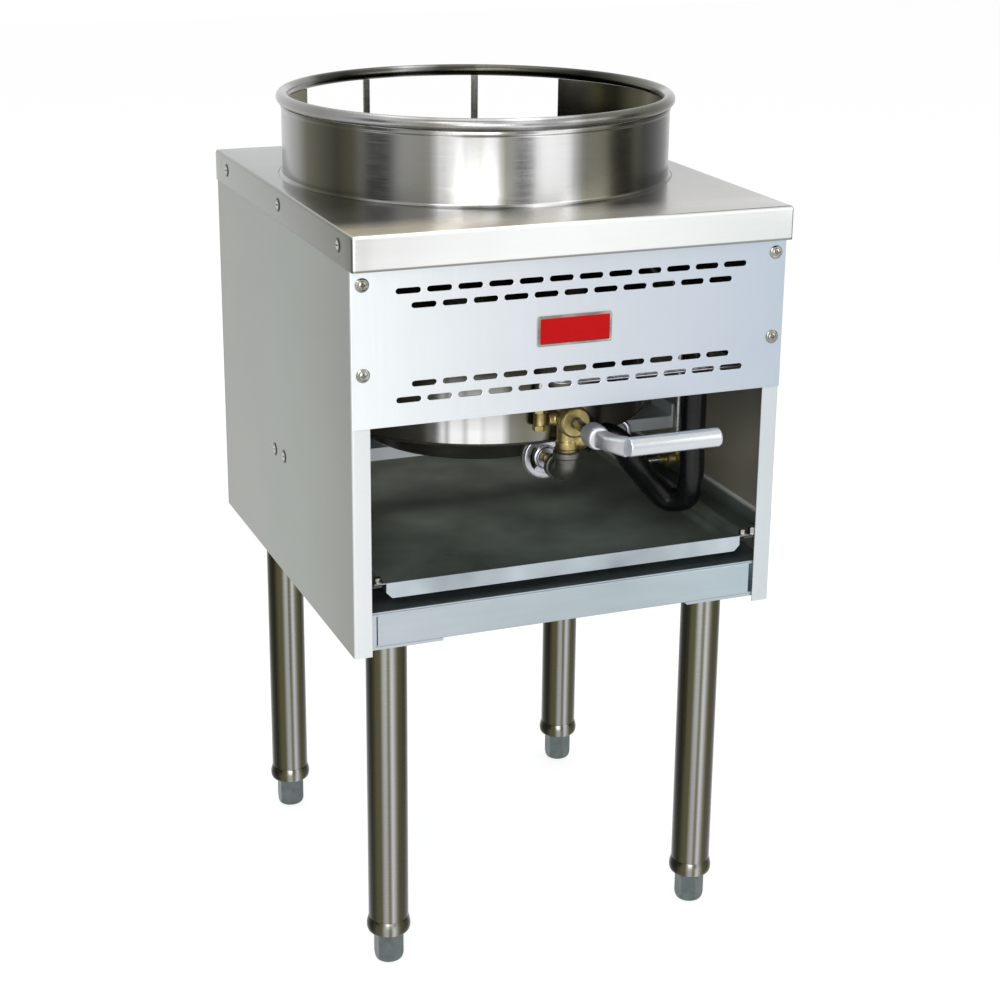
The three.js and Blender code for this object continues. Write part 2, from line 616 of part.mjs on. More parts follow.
// The mixing tube leaves the shutter beside the middle, swings over to the drum's axis
// and turns up through the base to the burner head.
function mixingLine() {
  const path = new THREE.CurvePath();
  const at = (x, y, z) => new THREE.Vector3(x, y, z);
  const turnStart = RING_Y - MIX_BEND;
  const swingStart = MIX_MOUTH_Y + 40;
  const swingEnd = turnStart - 10;
  path.add(new THREE.LineCurve3(at(VALVE_X, MIX_MOUTH_Y + MIX_MOUTH_WALL, BURNER_AXIS_Z),
    at(VALVE_X, swingStart, BURNER_AXIS_Z)));
  const third = (swingEnd - swingStart) / 2;
  path.add(new THREE.CubicBezierCurve3(at(VALVE_X, swingStart, BURNER_AXIS_Z),
    at(VALVE_X, swingStart + third, BURNER_AXIS_Z), at(0, swingEnd - third, BURNER_AXIS_Z),
    at(0, swingEnd, BURNER_AXIS_Z)));
  path.add(new THREE.LineCurve3(at(0, swingEnd, BURNER_AXIS_Z), at(0, turnStart, BURNER_AXIS_Z)));
  const handle = MIX_BEND * 0.5523;                    // quarter circle as a cubic curve
  path.add(new THREE.CubicBezierCurve3(at(0, turnStart, BURNER_AXIS_Z),
    at(0, turnStart + handle, BURNER_AXIS_Z), at(0, RING_Y, BURNER_AXIS_Z + MIX_BEND - handle),
    at(0, RING_Y, BURNER_AXIS_Z + MIX_BEND)));
  path.add(new THREE.LineCurve3(at(0, RING_Y, BURNER_AXIS_Z + MIX_BEND), at(0, RING_Y, MIX_TOP)));
  return path;
}

// Two kidney openings side by side round the burner's level axis, from y0 to y1.
function kidneys(y0, y1) {
  const inner = SHUTTER_HUB + 2;
  const outer = MIX_MOUTH_RADIUS - MIX_MOUTH_WALL;
  const opening = (middle) => alongY([
    ...arc(VALVE_X, BURNER_AXIS_Z, outer, middle - 45, middle + 45, 5),
    ...arc(VALVE_X, BURNER_AXIS_Z, inner, middle + 45, middle - 45, 5),
  ], y0, y1);
  return opening(0).add(opening(180));
}

// The mouth is a cup closed by a face plate, whose openings the shutter covers.
const mixing = mixingLine();
const mouthBack = MIX_MOUTH_Y + MIX_MOUTH_LENGTH;
const mouthFace = MIX_MOUTH_Y + MIX_MOUTH_WALL;
const mouthBore = MIX_MOUTH_RADIUS - MIX_MOUTH_WALL;
const mouth = turnedY([
  [0, MIX_MOUTH_Y], [MIX_MOUTH_RADIUS, MIX_MOUTH_Y], [MIX_MOUTH_RADIUS, mouthBack - 6],
  [MIX_RADIUS, mouthBack], [0, mouthBack],
], VALVE_X, BURNER_AXIS_Z, 24);
const mouthHollow = turnedY([
  [0, mouthFace], [mouthBore, mouthFace], [mouthBore, mouthBack - 7],
  [MIX_BORE, mouthBack], [0, mouthBack],
], VALVE_X, BURNER_AXIS_Z, 24);
const spudHole = turnedY(rod(SPUD_NOZZLE + FIT, MIX_MOUTH_Y - 1, mouthFace + 1), VALVE_X,
  BURNER_AXIS_Z, 12);
const mixingBody = swept(mixing, MIX_RADIUS, 18, 12).add(mouth)
  .subtract(swept(mixing, MIX_BORE, 18, 10)).subtract(mouthHollow)
  .subtract(spudHole).subtract(kidneys(MIX_MOUTH_Y - 1, mouthFace + 1));
add('mixing_tube', mixingBody, MATERIALS.iron);

// Cross bracket under the drum: a channel with a tab at each end, notched for the tube.
const bracketBack = BRACKET_FRONT + BRACKET_WIDTH;
const bracketTop = BRACKET_BOTTOM + BRACKET_HEIGHT;
const bracketOutline = [
  [BRACKET_FRONT, BRACKET_BOTTOM], [BRACKET_FRONT + BRACKET_SHEET, BRACKET_BOTTOM],
  [BRACKET_FRONT + BRACKET_SHEET, bracketTop - BRACKET_SHEET],
  [bracketBack - BRACKET_SHEET, bracketTop - BRACKET_SHEET],
  [bracketBack - BRACKET_SHEET, BRACKET_BOTTOM], [bracketBack, BRACKET_BOTTOM],
  [bracketBack, bracketTop], [BRACKET_FRONT, bracketTop],
];
let bracket = alongX(bracketOutline, -SIDE_IN, SIDE_IN);
for (const side of [-1, 1]) {
  const tabX = [side * SIDE_IN, side * (SIDE_IN - BRACKET_SHEET)].sort((a, b) => a - b);
  bracket = bracket.add(box(tabX[0], tabX[1], BRACKET_FRONT, bracketBack,
    BRACKET_BOTTOM, BRACKET_BOTTOM + BRACKET_TAB));
}
add('burner_bracket', bracket.subtract(swept(mixing, MIX_RADIUS + FIT, 18, 12)),
  MATERIALS.galvanised);

const headProfile = [
  [0, MIX_TOP], [20, MIX_TOP], [20, MIX_TOP + 9], [HEAD_RADIUS - 6, MIX_TOP + 14],
  [HEAD_RADIUS, MIX_TOP + 18], [HEAD_RADIUS, HEAD_TOP - 4], [HEAD_RADIUS - 2, HEAD_TOP],
  [0, HEAD_TOP],
];
add('burner_head', turned(headProfile, 0, RING_Y, 40), MATERIALS.iron);

// Brass crown: a plate on the head with two rings of jets.
let crown = turned(tube(HEAD_RADIUS - 3, 14, HEAD_TOP, HEAD_TOP + CROWN_THICK), 0, RING_Y, 40);
for (const row of JET_ROWS) {
  for (let i = 0; i < row.count; i++) {
    const angle = (2 * Math.PI * i) / row.count;
    const jet = [
      [0, HEAD_TOP + 1], [JET_RADIUS, HEAD_TOP + 1], [JET_RADIUS, HEAD_TOP + JET_HEIGHT - 4],
      [JET_RADIUS - 1.5, HEAD_TOP + JET_HEIGHT], [0, HEAD_TOP + JET_HEIGHT],
    ];
    crown = crown.add(turned(jet, row.radius * Math.cos(angle),
      RING_Y + row.radius * Math.sin(angle), 6));
  }
}
add('jet_crown', crown, MATERIALS.brass);

// Air shutter: a cast disc with two kidney openings, turned on the spud before the mouth.
const shutterBack = MIX_MOUTH_Y - FIT;
const shutterFront = shutterBack - SHUTTER_THICK;
const shutterBore = SPUD_NOZZLE + FIT;
const shutter = turnedY([
  [shutterBore, shutterBack], [SHUTTER_RADIUS, shutterBack], [SHUTTER_RADIUS, shutterFront],
  [SHUTTER_HUB, shutterFront], [SHUTTER_HUB, shutterFront - SHUTTER_HUB_LENGTH],
  [shutterBore, shutterFront - SHUTTER_HUB_LENGTH],
], VALVE_X, BURNER_AXIS_Z, 32);
add('air_shutter', shutter.subtract(kidneys(shutterFront - 1, shutterBack + 1)),
  MATERIALS.aluminium);

const spudProfile = [
  [0, ELBOW_END], [SPUD_HEX, ELBOW_END], [SPUD_HEX, ELBOW_END + 10],
  [SPUD_NOZZLE, ELBOW_END + 13], [SPUD_NOZZLE, shutterBack + 4], [0, shutterBack + 4],
];
add('orifice_spud', turnedY(spudProfile, VALVE_X, BURNER_AXIS_Z, 12), MATERIALS.brass);

// ---------------------------------------------------------------- valve train

// Malleable elbow: down from the valve, then back towards the burner.
const elbowLine = bentLine([
  [VALVE_X, VALVE_Y, ELBOW_TOP], [VALVE_X, VALVE_Y, BURNER_AXIS_Z],
  [VALVE_X, ELBOW_END, BURNER_AXIS_Z],
], ELBOW_RADIUS + 2);
const elbow = swept(elbowLine, ELBOW_RADIUS, 9, 14)
  .add(turned(rod(ELBOW_BAND, ELBOW_TOP - 7, ELBOW_TOP), VALVE_X, VALVE_Y, 16))
  .add(turnedY(rod(ELBOW_BAND, ELBOW_END - 7, ELBOW_END), VALVE_X, BURNER_AXIS_Z, 16));
add('valve_elbow', elbow, MATERIALS.malleable);

const valveBody = turned(rod(COLUMN_RADIUS, ELBOW_TOP, VALVE_Z), VALVE_X, VALVE_Y, 20)
  .add(turnedY(rod(BARREL_RADIUS, BARREL_FRONT, BARREL_BACK), VALVE_X, VALVE_Z, 24))
  .add(turnedX(rod(PORT_RADIUS, VALVE_X, PORT_END), VALVE_Y, PORT_Z, 20))
  .add(turnedX(rod(PORT_RADIUS - 3, VALVE_X - 22, VALVE_X), VALVE_Y, VALVE_Z, 16));
add('valve_body', valveBody, MATERIALS.brass);

const bonnetFront = BARREL_FRONT - BONNET_LENGTH;
const bonnetBore = STEM_RADIUS + FIT;
const bonnetProfile = [
  [bonnetBore, BARREL_FRONT], [BONNET_RADIUS, BARREL_FRONT], [BONNET_RADIUS, bonnetFront + 3],
  [BONNET_RADIUS - 3, bonnetFront], [bonnetBore, bonnetFront],
];
add('valve_bonnet', turnedY(bonnetProfile, VALVE_X, VALVE_Z, 24), MATERIALS.brass);

add('valve_stem', turnedY(rod(STEM_RADIUS, HUB_BACK, BARREL_FRONT - FIT), VALVE_X, VALVE_Z, 16),
  MATERIALS.steel);

// Lever: a hub clamped on the stem and an arm that comes forward to the grip.
const armOutline = [
  [VALVE_X - 7, HUB_FRONT + 6], [VALVE_X + 9, HUB_FRONT + 6],
  [GRIP_START, GRIP_Y + GRIP_RADIUS - 1], [GRIP_START, GRIP_Y - GRIP_RADIUS + 2],
  [GRIP_START - 9, GRIP_Y - GRIP_RADIUS + 2], [GRIP_START - 14, GRIP_Y + 3],
];
const hubProfile = [
  [0, HUB_BACK], [HUB_RADIUS, HUB_BACK], [HUB_RADIUS, HUB_FRONT + 3],
  [HUB_RADIUS - 3, HUB_FRONT], [0, HUB_FRONT],
];
const lever = turnedY(hubProfile, VALVE_X, VALVE_Z, 24)
  .add(alongZ(armOutline, VALVE_Z - ARM_HALF_HEIGHT, VALVE_Z + ARM_HALF_HEIGHT));
add('valve_lever', lever, MATERIALS.aluminium);

const gripProfile = [
  [0, GRIP_START], [GRIP_RADIUS, GRIP_START], [GRIP_RADIUS, GRIP_END - 2],
  [GRIP_RADIUS - 2, GRIP_END], [0, GRIP_END],
];
add('lever_grip', turnedX(gripProfile, GRIP_Y, VALVE_Z, 24), MATERIALS.aluminium);

// ---------------------------------------------------------------- gas supply

const unionEnd = PORT_END + UNION_LENGTH;
add('inlet_union', turnedX(rod(UNION_RADIUS, PORT_END, unionEnd), VALVE_Y, PORT_Z, 8),
  MATERIALS.black);

// Black pipe: down and across in front of the drum, round a tight bend, up behind the
// front panel, and back along the right side to the inlet.
const supplyEnd = sideBack - COUPLING_LENGTH - FIT;
const supplyLine = curveThrough([
  [unionEnd + FIT, VALVE_Y, PORT_Z], [unionEnd + 5, VALVE_Y, PORT_Z],
  [unionEnd + 20, VALVE_Y + 1, PORT_Z - 9], [unionEnd + 41, VALVE_Y + 7, PORT_Z - 36],
  [PIPE_RISE_X - 32, PIPE_RISE_Y + 24, PORT_Z - 66],
  [PIPE_RISE_X - 15, PIPE_RISE_Y + 20, PORT_Z - 82],
  [PIPE_RISE_X - 2, PIPE_RISE_Y + 6, PORT_Z - 76],
  [PIPE_RISE_X, PIPE_RISE_Y, PORT_Z - 54], [PIPE_RISE_X, PIPE_RISE_Y, PORT_Z - 12],
  [PIPE_RISE_X, PIPE_RISE_Y, PIPE_RUN_Z - 60], [PIPE_RISE_X + 3, PIPE_RISE_Y + 6, PIPE_RUN_Z - 25],
  [PIPE_RISE_X + 20, PIPE_RISE_Y + 28, PIPE_RUN_Z - 6],
  [PIPE_RISE_X + 35, PIPE_RISE_Y + 56, PIPE_RUN_Z - 1],
  [PIPE_SIDE_X, PIPE_RISE_Y + 91, PIPE_RUN_Z],
  [PIPE_SIDE_X, CLIP_Y - 40, PIPE_RUN_Z], [PIPE_SIDE_X, CLIP_Y + 30, PIPE_RUN_Z],
  [PIPE_SIDE_X, CLIP_Y + 70, PIPE_RUN_Z], [INLET_X + 14, 125, PIPE_RUN_Z],
  [INLET_X, 175, PIPE_RUN_Z], [INLET_X, supplyEnd, PIPE_RUN_Z],
]);
add('supply_pipe', swept(supplyLine, PIPE_RADIUS, 44, 12), MATERIALS.black);

const couplingStart = sideBack - COUPLING_LENGTH;
const socket = shapeOf(arc(INLET_X, PIPE_RUN_Z, COUPLING_RADIUS, 0, 345, 23));
add('inlet_coupling', alongY(socket, couplingStart, sideBack), MATERIALS.malleable);

const nipple = turnedY(tube(PIPE_RADIUS, PIPE_BORE, sideBack, INLET_END), INLET_X,
  PIPE_RUN_Z, 24);
add('gas_inlet_nipple', nipple, MATERIALS.black);

// Pipe clip: a strap round the pipe with a foot on the right side panel.
const clipRadius = PIPE_RADIUS + FIT;
const strap = turnedY(tube(clipRadius + SHEET, clipRadius, CLIP_Y - CLIP_WIDTH / 2,
  CLIP_Y + CLIP_WIDTH / 2), PIPE_SIDE_X, PIPE_RUN_Z, 24);
const clipFoot = box(PIPE_SIDE_X + clipRadius + FIT / 2, SIDE_IN, CLIP_Y - CLIP_WIDTH / 2,
  CLIP_Y + CLIP_WIDTH / 2, PIPE_RUN_Z - 30, PIPE_RUN_Z + 4);
add('pipe_clip', strap.add(clipFoot), MATERIALS.galvanised);

// ---------------------------------------------------------------- pilot

const takeOffEnd = VALVE_X - 22;
const takeOffRadius = 8;
const takeOffX = takeOffEnd - takeOffRadius;
const takeOffTop = VALVE_Z + 16;
add('pilot_take_off', turned(rod(takeOffRadius, VALVE_Z - 11, takeOffTop), takeOffX, VALVE_Y, 16),
  MATERIALS.brass);

const feedZ = FRONT_PANEL_BOTTOM + 16;
const feedFrontY = VALVE_Y - 37;
const pilotValveX = SIDE_IN - PIPE_SIDE_ROOM;
const pilotValveTop = PILOT_VALVE_Z + 14;
const feedLine = bentLine([
  [takeOffX, VALVE_Y, takeOffTop], [takeOffX, VALVE_Y, feedZ], [takeOffX, feedFrontY, feedZ],
  [pilotValveX, feedFrontY, feedZ], [pilotValveX, PILOT_VALVE_Y, feedZ],
  [pilotValveX, PILOT_VALVE_Y, pilotValveTop],
], 14);
add('pilot_feed_tube', swept(feedLine, PILOT_TUBE_RADIUS, 40, 6), MATERIALS.aluminium);

const pilotValve = turnedX(rod(PILOT_VALVE_RADIUS, PILOT_VALVE_START, SIDE_IN), PILOT_VALVE_Y,
  PILOT_VALVE_Z, 12)
  .add(turned(rod(6, PILOT_VALVE_Z, pilotValveTop), pilotValveX, PILOT_VALVE_Y, 12))
  .add(turnedX(rod(5, PILOT_VALVE_START - 8, PILOT_VALVE_START), PILOT_VALVE_Y,
    PILOT_VALVE_Z, 12));
add('pilot_valve', pilotValve, MATERIALS.brass);

const pilotBottom = PILOT_TOP - 40;
const pilotRiseX = PILOT_VALVE_START - 46;
const pilotCrossZ = PILOT_VALVE_Z + 49;                // under the drum, over the bracket
const pilotLine = bentLine([
  [PILOT_VALVE_START - 8, PILOT_VALVE_Y, PILOT_VALVE_Z],
  [pilotRiseX, PILOT_VALVE_Y, PILOT_VALVE_Z], [pilotRiseX, PILOT_VALVE_Y, pilotCrossZ],
  [PILOT_X, PILOT_Y, pilotCrossZ], [PILOT_X, PILOT_Y, pilotBottom],
], 14);
add('pilot_tube', swept(pilotLine, PILOT_TUBE_RADIUS, 32, 6), MATERIALS.aluminium);

const pilotProfile = [
  [0, pilotBottom], [5, pilotBottom], [5, PILOT_TOP - 8], [3, PILOT_TOP], [0, PILOT_TOP],
];
add('pilot_burner', turned(pilotProfile, PILOT_X, PILOT_Y, 12), MATERIALS.brass);

// ---------------------------------------------------------------- drip tray

const flangeHalf = TRAY_HALF_WIDTH + TRAY_FLANGE;
const panOutline = (half, bottom, top) => [
  [-half, bottom + TRAY_CHAMFER], [-half + TRAY_CHAMFER, bottom],
  [half - TRAY_CHAMFER, bottom], [half, bottom + TRAY_CHAMFER], [half, top], [-half, top],
];
const pan = alongY(panOutline(TRAY_HALF_WIDTH, TRAY_BOTTOM, TRAY_TOP), TRAY_FRONT, TRAY_BACK)
  .subtract(alongY(panOutline(TRAY_HALF_WIDTH - TRAY_SHEET, TRAY_BOTTOM + TRAY_SHEET,
    TRAY_TOP + TRAY_SHEET), TRAY_FRONT + TRAY_SHEET, TRAY_BACK - TRAY_SHEET));
let tray = pan;
for (const side of [-1, 1]) {
  const x = [side * (TRAY_HALF_WIDTH - TRAY_SHEET / 2), side * flangeHalf].sort((a, b) => a - b);
  tray = tray.add(box(x[0], x[1], TRAY_FRONT + 14, TRAY_BACK, TRAY_TOP - TRAY_SHEET, TRAY_TOP));
}
add('drip_tray', tray, MATERIALS.galvanised);

const runnerTop = TRAY_TOP - TRAY_SHEET - FIT;
for (const [side, word] of [[-1, 'left'], [1, 'right']]) {
  const outline = mirrorX([
    [SIDE_IN - RUNNER_LEG, runnerTop - SHEET], [SIDE_IN, runnerTop - SHEET],
    [SIDE_IN, runnerTop + RUNNER_UPSTAND], [SIDE_IN - SHEET, runnerTop + RUNNER_UPSTAND],
    [SIDE_IN - SHEET, runnerTop], [SIDE_IN - RUNNER_LEG, runnerTop],
  ], side);
  add(`tray_runner_${word}`, alongY(outline, frontRailFace + bendClear, rearRailFace - bendClear),
    MATERIALS.galvanised);
}

export default range;
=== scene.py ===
# %% [markdown]
# # A wok range, dressed around its measured frame
# The range is a steel cabinet on four tube legs. A tall ring on its deck carries the wok,
# and a gas valve sits behind the open front. The solids of the frame already have their
# real size and place, so this script gives them finishes, and rebuilds the pieces whose
# rounded edges the eye looks for. Everything is in metres, +Z up, the front faces -Y.

# %% Load the frame
import math

import bmesh
import bpy
import numpy as np
from mathutils import Matrix, Vector


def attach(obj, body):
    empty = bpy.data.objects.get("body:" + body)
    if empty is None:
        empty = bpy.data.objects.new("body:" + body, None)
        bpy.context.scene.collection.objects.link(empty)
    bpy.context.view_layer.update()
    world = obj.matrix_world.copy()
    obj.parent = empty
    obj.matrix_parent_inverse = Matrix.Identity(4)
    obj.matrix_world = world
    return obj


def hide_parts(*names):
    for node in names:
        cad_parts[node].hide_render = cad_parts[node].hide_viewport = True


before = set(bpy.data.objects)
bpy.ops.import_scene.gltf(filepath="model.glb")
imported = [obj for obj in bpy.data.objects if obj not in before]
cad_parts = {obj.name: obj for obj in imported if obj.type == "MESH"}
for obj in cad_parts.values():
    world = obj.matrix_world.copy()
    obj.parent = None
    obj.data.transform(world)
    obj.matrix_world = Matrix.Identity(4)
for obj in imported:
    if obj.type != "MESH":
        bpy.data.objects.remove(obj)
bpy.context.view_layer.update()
CABINET = "cabinet"
MM = 0.001

# %% [markdown]
# ## The camera
# The photograph was taken from the front left, a little above the deck. A camera can be
# aimed with a Track To constraint, but a fitted one is better given as its own three axes:
# right and up from yaw, pitch and roll. The small shift holds the photograph's framing.

# %% Camera
CAMERA_PLACE = Vector((-0.78008, -2.01231, 1.18710))
CAMERA_YAW = math.radians(21.71)
CAMERA_PITCH = math.radians(17.88)
CAMERA_ROLL = math.radians(0.53)
FOCAL_OVER_WIDTH = 2.04551
SENSOR_WIDTH, SHIFT_UP = 36.0, -0.05


def camera_axes(yaw, pitch, roll):
    """Forward from yaw and pitch; right is level; up is right x forward; then both roll."""
    forward = Vector((math.sin(yaw) * math.cos(pitch), math.cos(yaw) * math.cos(pitch),
                      -math.sin(pitch)))
    level = Vector((math.cos(yaw), -math.sin(yaw), 0.0))
    upright = level.cross(forward)
    right = level * math.cos(roll) + upright * math.sin(roll)
    up = upright * math.cos(roll) - level * math.sin(roll)
    return right, up, forward


right, up, forward = camera_axes(CAMERA_YAW, CAMERA_PITCH, CAMERA_ROLL)
camera_data = bpy.data.cameras.new("camera")
camera_data.sensor_width = SENSOR_WIDTH
camera_data.lens = FOCAL_OVER_WIDTH * SENSOR_WIDTH
camera_data.shift_y = SHIFT_UP
camera = bpy.data.objects.new("camera", camera_data)
bpy.context.scene.collection.objects.link(camera)
turn = Matrix((right, up, -forward)).transposed().to_4x4()
camera.matrix_world = Matrix.Translation(CAMERA_PLACE) @ turn
bpy.context.scene.camera = camera
print("lens", round(camera_data.lens, 2), "mm at", tuple(round(v, 3) for v in CAMERA_PLACE))

# %% [markdown]
# ## Node trees
# A finish is a small tree of shader nodes. Writing one node per line hides the idea, so a
# tiny builder class keeps the tree's wiring short: each method adds one node and returns
# its output. Patterns read Object coordinates, because those stay on the piece.

# %% Shader helpers
WHITE = (1.0, 1.0, 1.0, 1.0)


def linear(red, green, blue):
    """A colour as a screen shows it, 0 to 255, becomes the linear colour a shader needs."""
    values = np.array([red, green, blue]) / 255
    curve = np.where(values <= 0.04045, values / 12.92, ((values + 0.055) / 1.055) ** 2.4)
    return (*curve.tolist(), 1.0)


class Tree:
    """The node tree of a material, or of the world, with a method for each kind of node."""

    def __init__(self, name, owner=None):
        self.owner = owner or bpy.data.materials.new(name)
        self.owner.use_nodes = True
        self.nodes = self.owner.node_tree.nodes
        self.links = self.owner.node_tree.links
        self.shader = self.nodes.get("Principled BSDF")

    def add(self, kind, inputs=(), **settings):
        node = self.nodes.new("ShaderNode" + kind)
        for key, value in settings.items():
            setattr(node, key, value)
        for socket, value in dict(inputs).items():
            self.set(node.inputs[socket], value)
        return node

    def set(self, socket, value):
        if isinstance(value, bpy.types.NodeSocket):
            self.links.new(value, socket)
        else:
            socket.default_value = value

    def place(self, scale=(1, 1, 1)):
        """Object coordinates, stretched."""
        coordinates = self.add("TexCoord").outputs["Object"]
        return self.add("Mapping", {"Vector": coordinates, "Scale": scale}).outputs["Vector"]

    def noise(self, vector, scale, detail=3.0, rough=0.6):
        return self.add("TexNoise", {"Vector": vector, "Scale": scale, "Detail": detail,
                                     "Roughness": rough}).outputs["Fac"]

    def span(self, value, low, high, start=0.0, end=1.0):
        """The value's stretch from start to end becomes low to high."""
        return self.add("MapRange", {"Value": value, "From Min": start, "From Max": end,
                                     "To Min": low, "To Max": high}).outputs["Result"]

    def even(self, noise, low=0.0, high=1.0):
        """Most of a noise lies between 0.3 and 0.7. That stretch becomes low to high."""
        return self.span(noise, low, high, 0.3, 0.7)

    def mix(self, factor, first, second, mode="MIX"):
        node = self.add("Mix", data_type="RGBA", blend_type=mode)
        for socket, value in (("Factor", factor), (6, first), (7, second)):
            self.set(node.inputs[socket], value)
        return node.outputs[2]

    def shaded(self, base, noise, depth):
        """The base multiplied by a grey that falls by the depth where the noise is low."""
        return self.mix(1.0, base, self.mix(self.even(noise), (1 - depth,) * 3 + (1,), WHITE),
                        "MULTIPLY")

    def math(self, operation, first, second=0.0):
        return self.add("Math", {0: first, 1: second}, operation=operation).outputs[0]

    def bump(self, height, strength, distance):
        bump = self.add("Bump", {"Height": height, "Strength": strength,
                                 "Distance": distance})
        self.links.new(bump.outputs["Normal"], self.shader.inputs["Normal"])

    def axis(self, name):
        """One Object coordinate: x, y or z, or its size without the sign for ax."""
        axes = self.add("SeparateXYZ", {0: self.add("TexCoord").outputs["Object"]})
        value = axes.outputs["xyz".index(name[-1])]
        return self.math("ABSOLUTE", value) if name[0] == "a" else value

    def ramp(self, factor, stops):
        """A colour ramp through rising stops of (position, linear colour)."""
        node = self.add("ValToRGB", {"Fac": factor})
        spots = node.color_ramp.elements
        spots.remove(spots[0])
        for index, (position, color) in enumerate(stops):
            spot = spots.new(position) if index else spots[0]
            spot.position, spot.color = position, color
        return node.outputs[0]

    def along(self, axis, stops):
        """A colour that drifts along an axis through stops of (metres, colour on screen)."""
        first, last = stops[0][0], stops[-1][0]
        return self.ramp(self.span(self.axis(axis), 0, 1, first, last),
                         [((place - first) / (last - first), linear(*color))
                          for place, color in stops])

    def surface(self, shader):
        """Another shader than the usual one goes to the material's output."""
        self.links.new(shader.outputs[0], self.nodes["Material Output"].inputs["Surface"])

    def finish(self, color, rough, metallic=1.0):
        for socket, value in (("Base Color", color), ("Roughness", rough),
                              ("Metallic", metallic)):
            self.set(self.shader.inputs[socket], value)
        return self.owner


def brushed(name, tone, rough, grain=(1, 1, 1), contrast=0.12, cloud=0.10, bump=0.02,
            zones=(), metallic=1.0):
    """Sheet steel: a tone that drifts along an axis, fine streaks along the axis whose
    scale is small, and a soft cloud of handling marks at palm size. On the cabinet the drift is
    painted light. A zone (axis, start, end, tone) is another tone where the coordinate has
    passed from start to end, and may name another share of metal; the zones hold painted
    highlights, reflections and shade."""
    tree = Tree(name)
    base = tree.along(*tone) if isinstance(tone[0], str) else linear(*tone)
    for axis, start, end, other, *metal in zones:
        inside = tree.span(tree.axis(axis), 0, 1, start, end)
        base = tree.mix(inside, base, tree.along(*other))
        if metal:
            metallic = tree.span(inside, metallic, metal[0])
    streaks = tree.noise(tree.place(grain), 1.0, 4.0)
    clouds = tree.noise(tree.place(), 7.0, rough=0.55)
    base = tree.shaded(tree.shaded(base, streaks, contrast), clouds, cloud)
    tree.bump(streaks, bump, MM)
    return tree.finish(base, tree.even(streaks, rough - contrast, rough + contrast), metallic)


print("shader helpers ready")

# %% [markdown]
# ## Floor, backdrop and light
# A catalogue picture has a white ground that still carries the object's soft shadow. The
# floor could be lit until it is white, but that would burn out the steel too. Here the
# camera and the mirror rays see an even glow on top of a grey floor that takes the shadow,
# and the light rays meet the grey floor alone. Polished steel shows what stands round it,
# so dark boards stand outside the picture, seen by mirror rays alone.

# %% Floor and world
scene = bpy.context.scene
scene.view_settings.view_transform = "Standard"
WORLD_LEVEL, FLOOR_GREY, FLOOR_GLOW = 0.62, 0.30, 0.80


def seen(tree):
    """1 for camera, glossy and transmission rays, 0 for the diffuse rays that carry light."""
    rays = tree.add("LightPath").outputs
    total = tree.math("MAXIMUM", rays["Is Camera Ray"], rays["Is Glossy Ray"])
    return tree.math("MAXIMUM", total, rays["Is Transmission Ray"])


def quad(name, corners, finish):
    """One flat rectangle through four corners, in order, that belongs to the studio."""
    mesh = bpy.data.meshes.new(name)
    mesh.from_pydata(corners, [], [(0, 1, 2, 3)])
    mesh.materials.append(finish)
    made = bpy.data.objects.new(name, mesh)
    scene.collection.objects.link(made)
    return made


sky = Tree("studio", bpy.data.worlds.new("studio"))
scene.world = sky.owner
background = sky.nodes["Background"].inputs
background["Color"].default_value = WHITE
sky.set(background["Strength"], sky.span(seen(sky), WORLD_LEVEL, 1.0))

ground = Tree("white_ground")
diffuse = ground.add("BsdfDiffuse", {"Color": (FLOOR_GREY,) * 3 + (1,)}).outputs[0]
glow = ground.add("Emission", {"Color": WHITE, "Strength": FLOOR_GLOW}).outputs[0]
lit = ground.add("AddShader", {0: diffuse, 1: glow}).outputs[0]
ground.surface(ground.add("MixShader", {0: seen(ground), 1: diffuse, 2: lit}))
quad("floor", [(-9, -9, 0), (9, -9, 0), (9, 9, 0), (-9, 9, 0)], ground.owner)
print("floor and world ready")

# %% Boards and lamps
def board(name, centre, width, height, grey):
    """An upright rectangle that faces the range's middle and shows only in mirror rays."""
    middle = Vector((centre[0], centre[1], 0))
    away = middle.normalized()
    across = Vector((-away.y, away.x, 0)) * width / 2
    low, high = (Vector((0, 0, centre[2] + lift)) for lift in (-height / 2, height / 2))
    tone = Tree(name + "_tone")
    tone.surface(tone.add("Emission", {"Color": (grey, grey, grey, 1)}))
    made = quad(name, [middle - across + low, middle + across + low, middle + across + high,
                       middle - across + high], tone.owner)
    for ray in ("camera", "diffuse", "shadow", "transmission"):
        setattr(made, "visible_" + ray, False)


def lamp(name, place, aim, size, watts):
    """A square soft box that looks from its place at its aim."""
    data = bpy.data.lights.new(name, "AREA")
    data.shape, data.size, data.energy = "SQUARE", size, watts
    made = bpy.data.objects.new(name, data)
    turn = (Vector(place) - Vector(aim)).to_track_quat("Z", "Y").to_matrix().to_4x4()
    made.matrix_world = Matrix.Translation(place) @ turn
    scene.collection.objects.link(made)


board("board_dark_left", (-2.6, -0.6, 0.8), 0.9, 2.4, 0.05)
board("board_dark_front", (0.35, -3.0, 0.7), 0.7, 2.2, 0.12)
board("board_dark_right", (2.6, -0.9, 0.8), 1.0, 2.4, 0.06)
lamp("key", (-1.6, -2.4, 2.9), (0, 0, 0.6), 1.6, 34)
lamp("front", (-0.9, -2.7, 0.95), (0, -0.1, 0.45), 1.2, 26)
lamp("fill", (2.4, -2.2, 1.6), (0, 0, 0.5), 1.8, 20)
lamp("top", (0.2, 0.6, 3.2), (0, 0, 0.8), 2.0, 22)
print("boards 3, lamps 4")
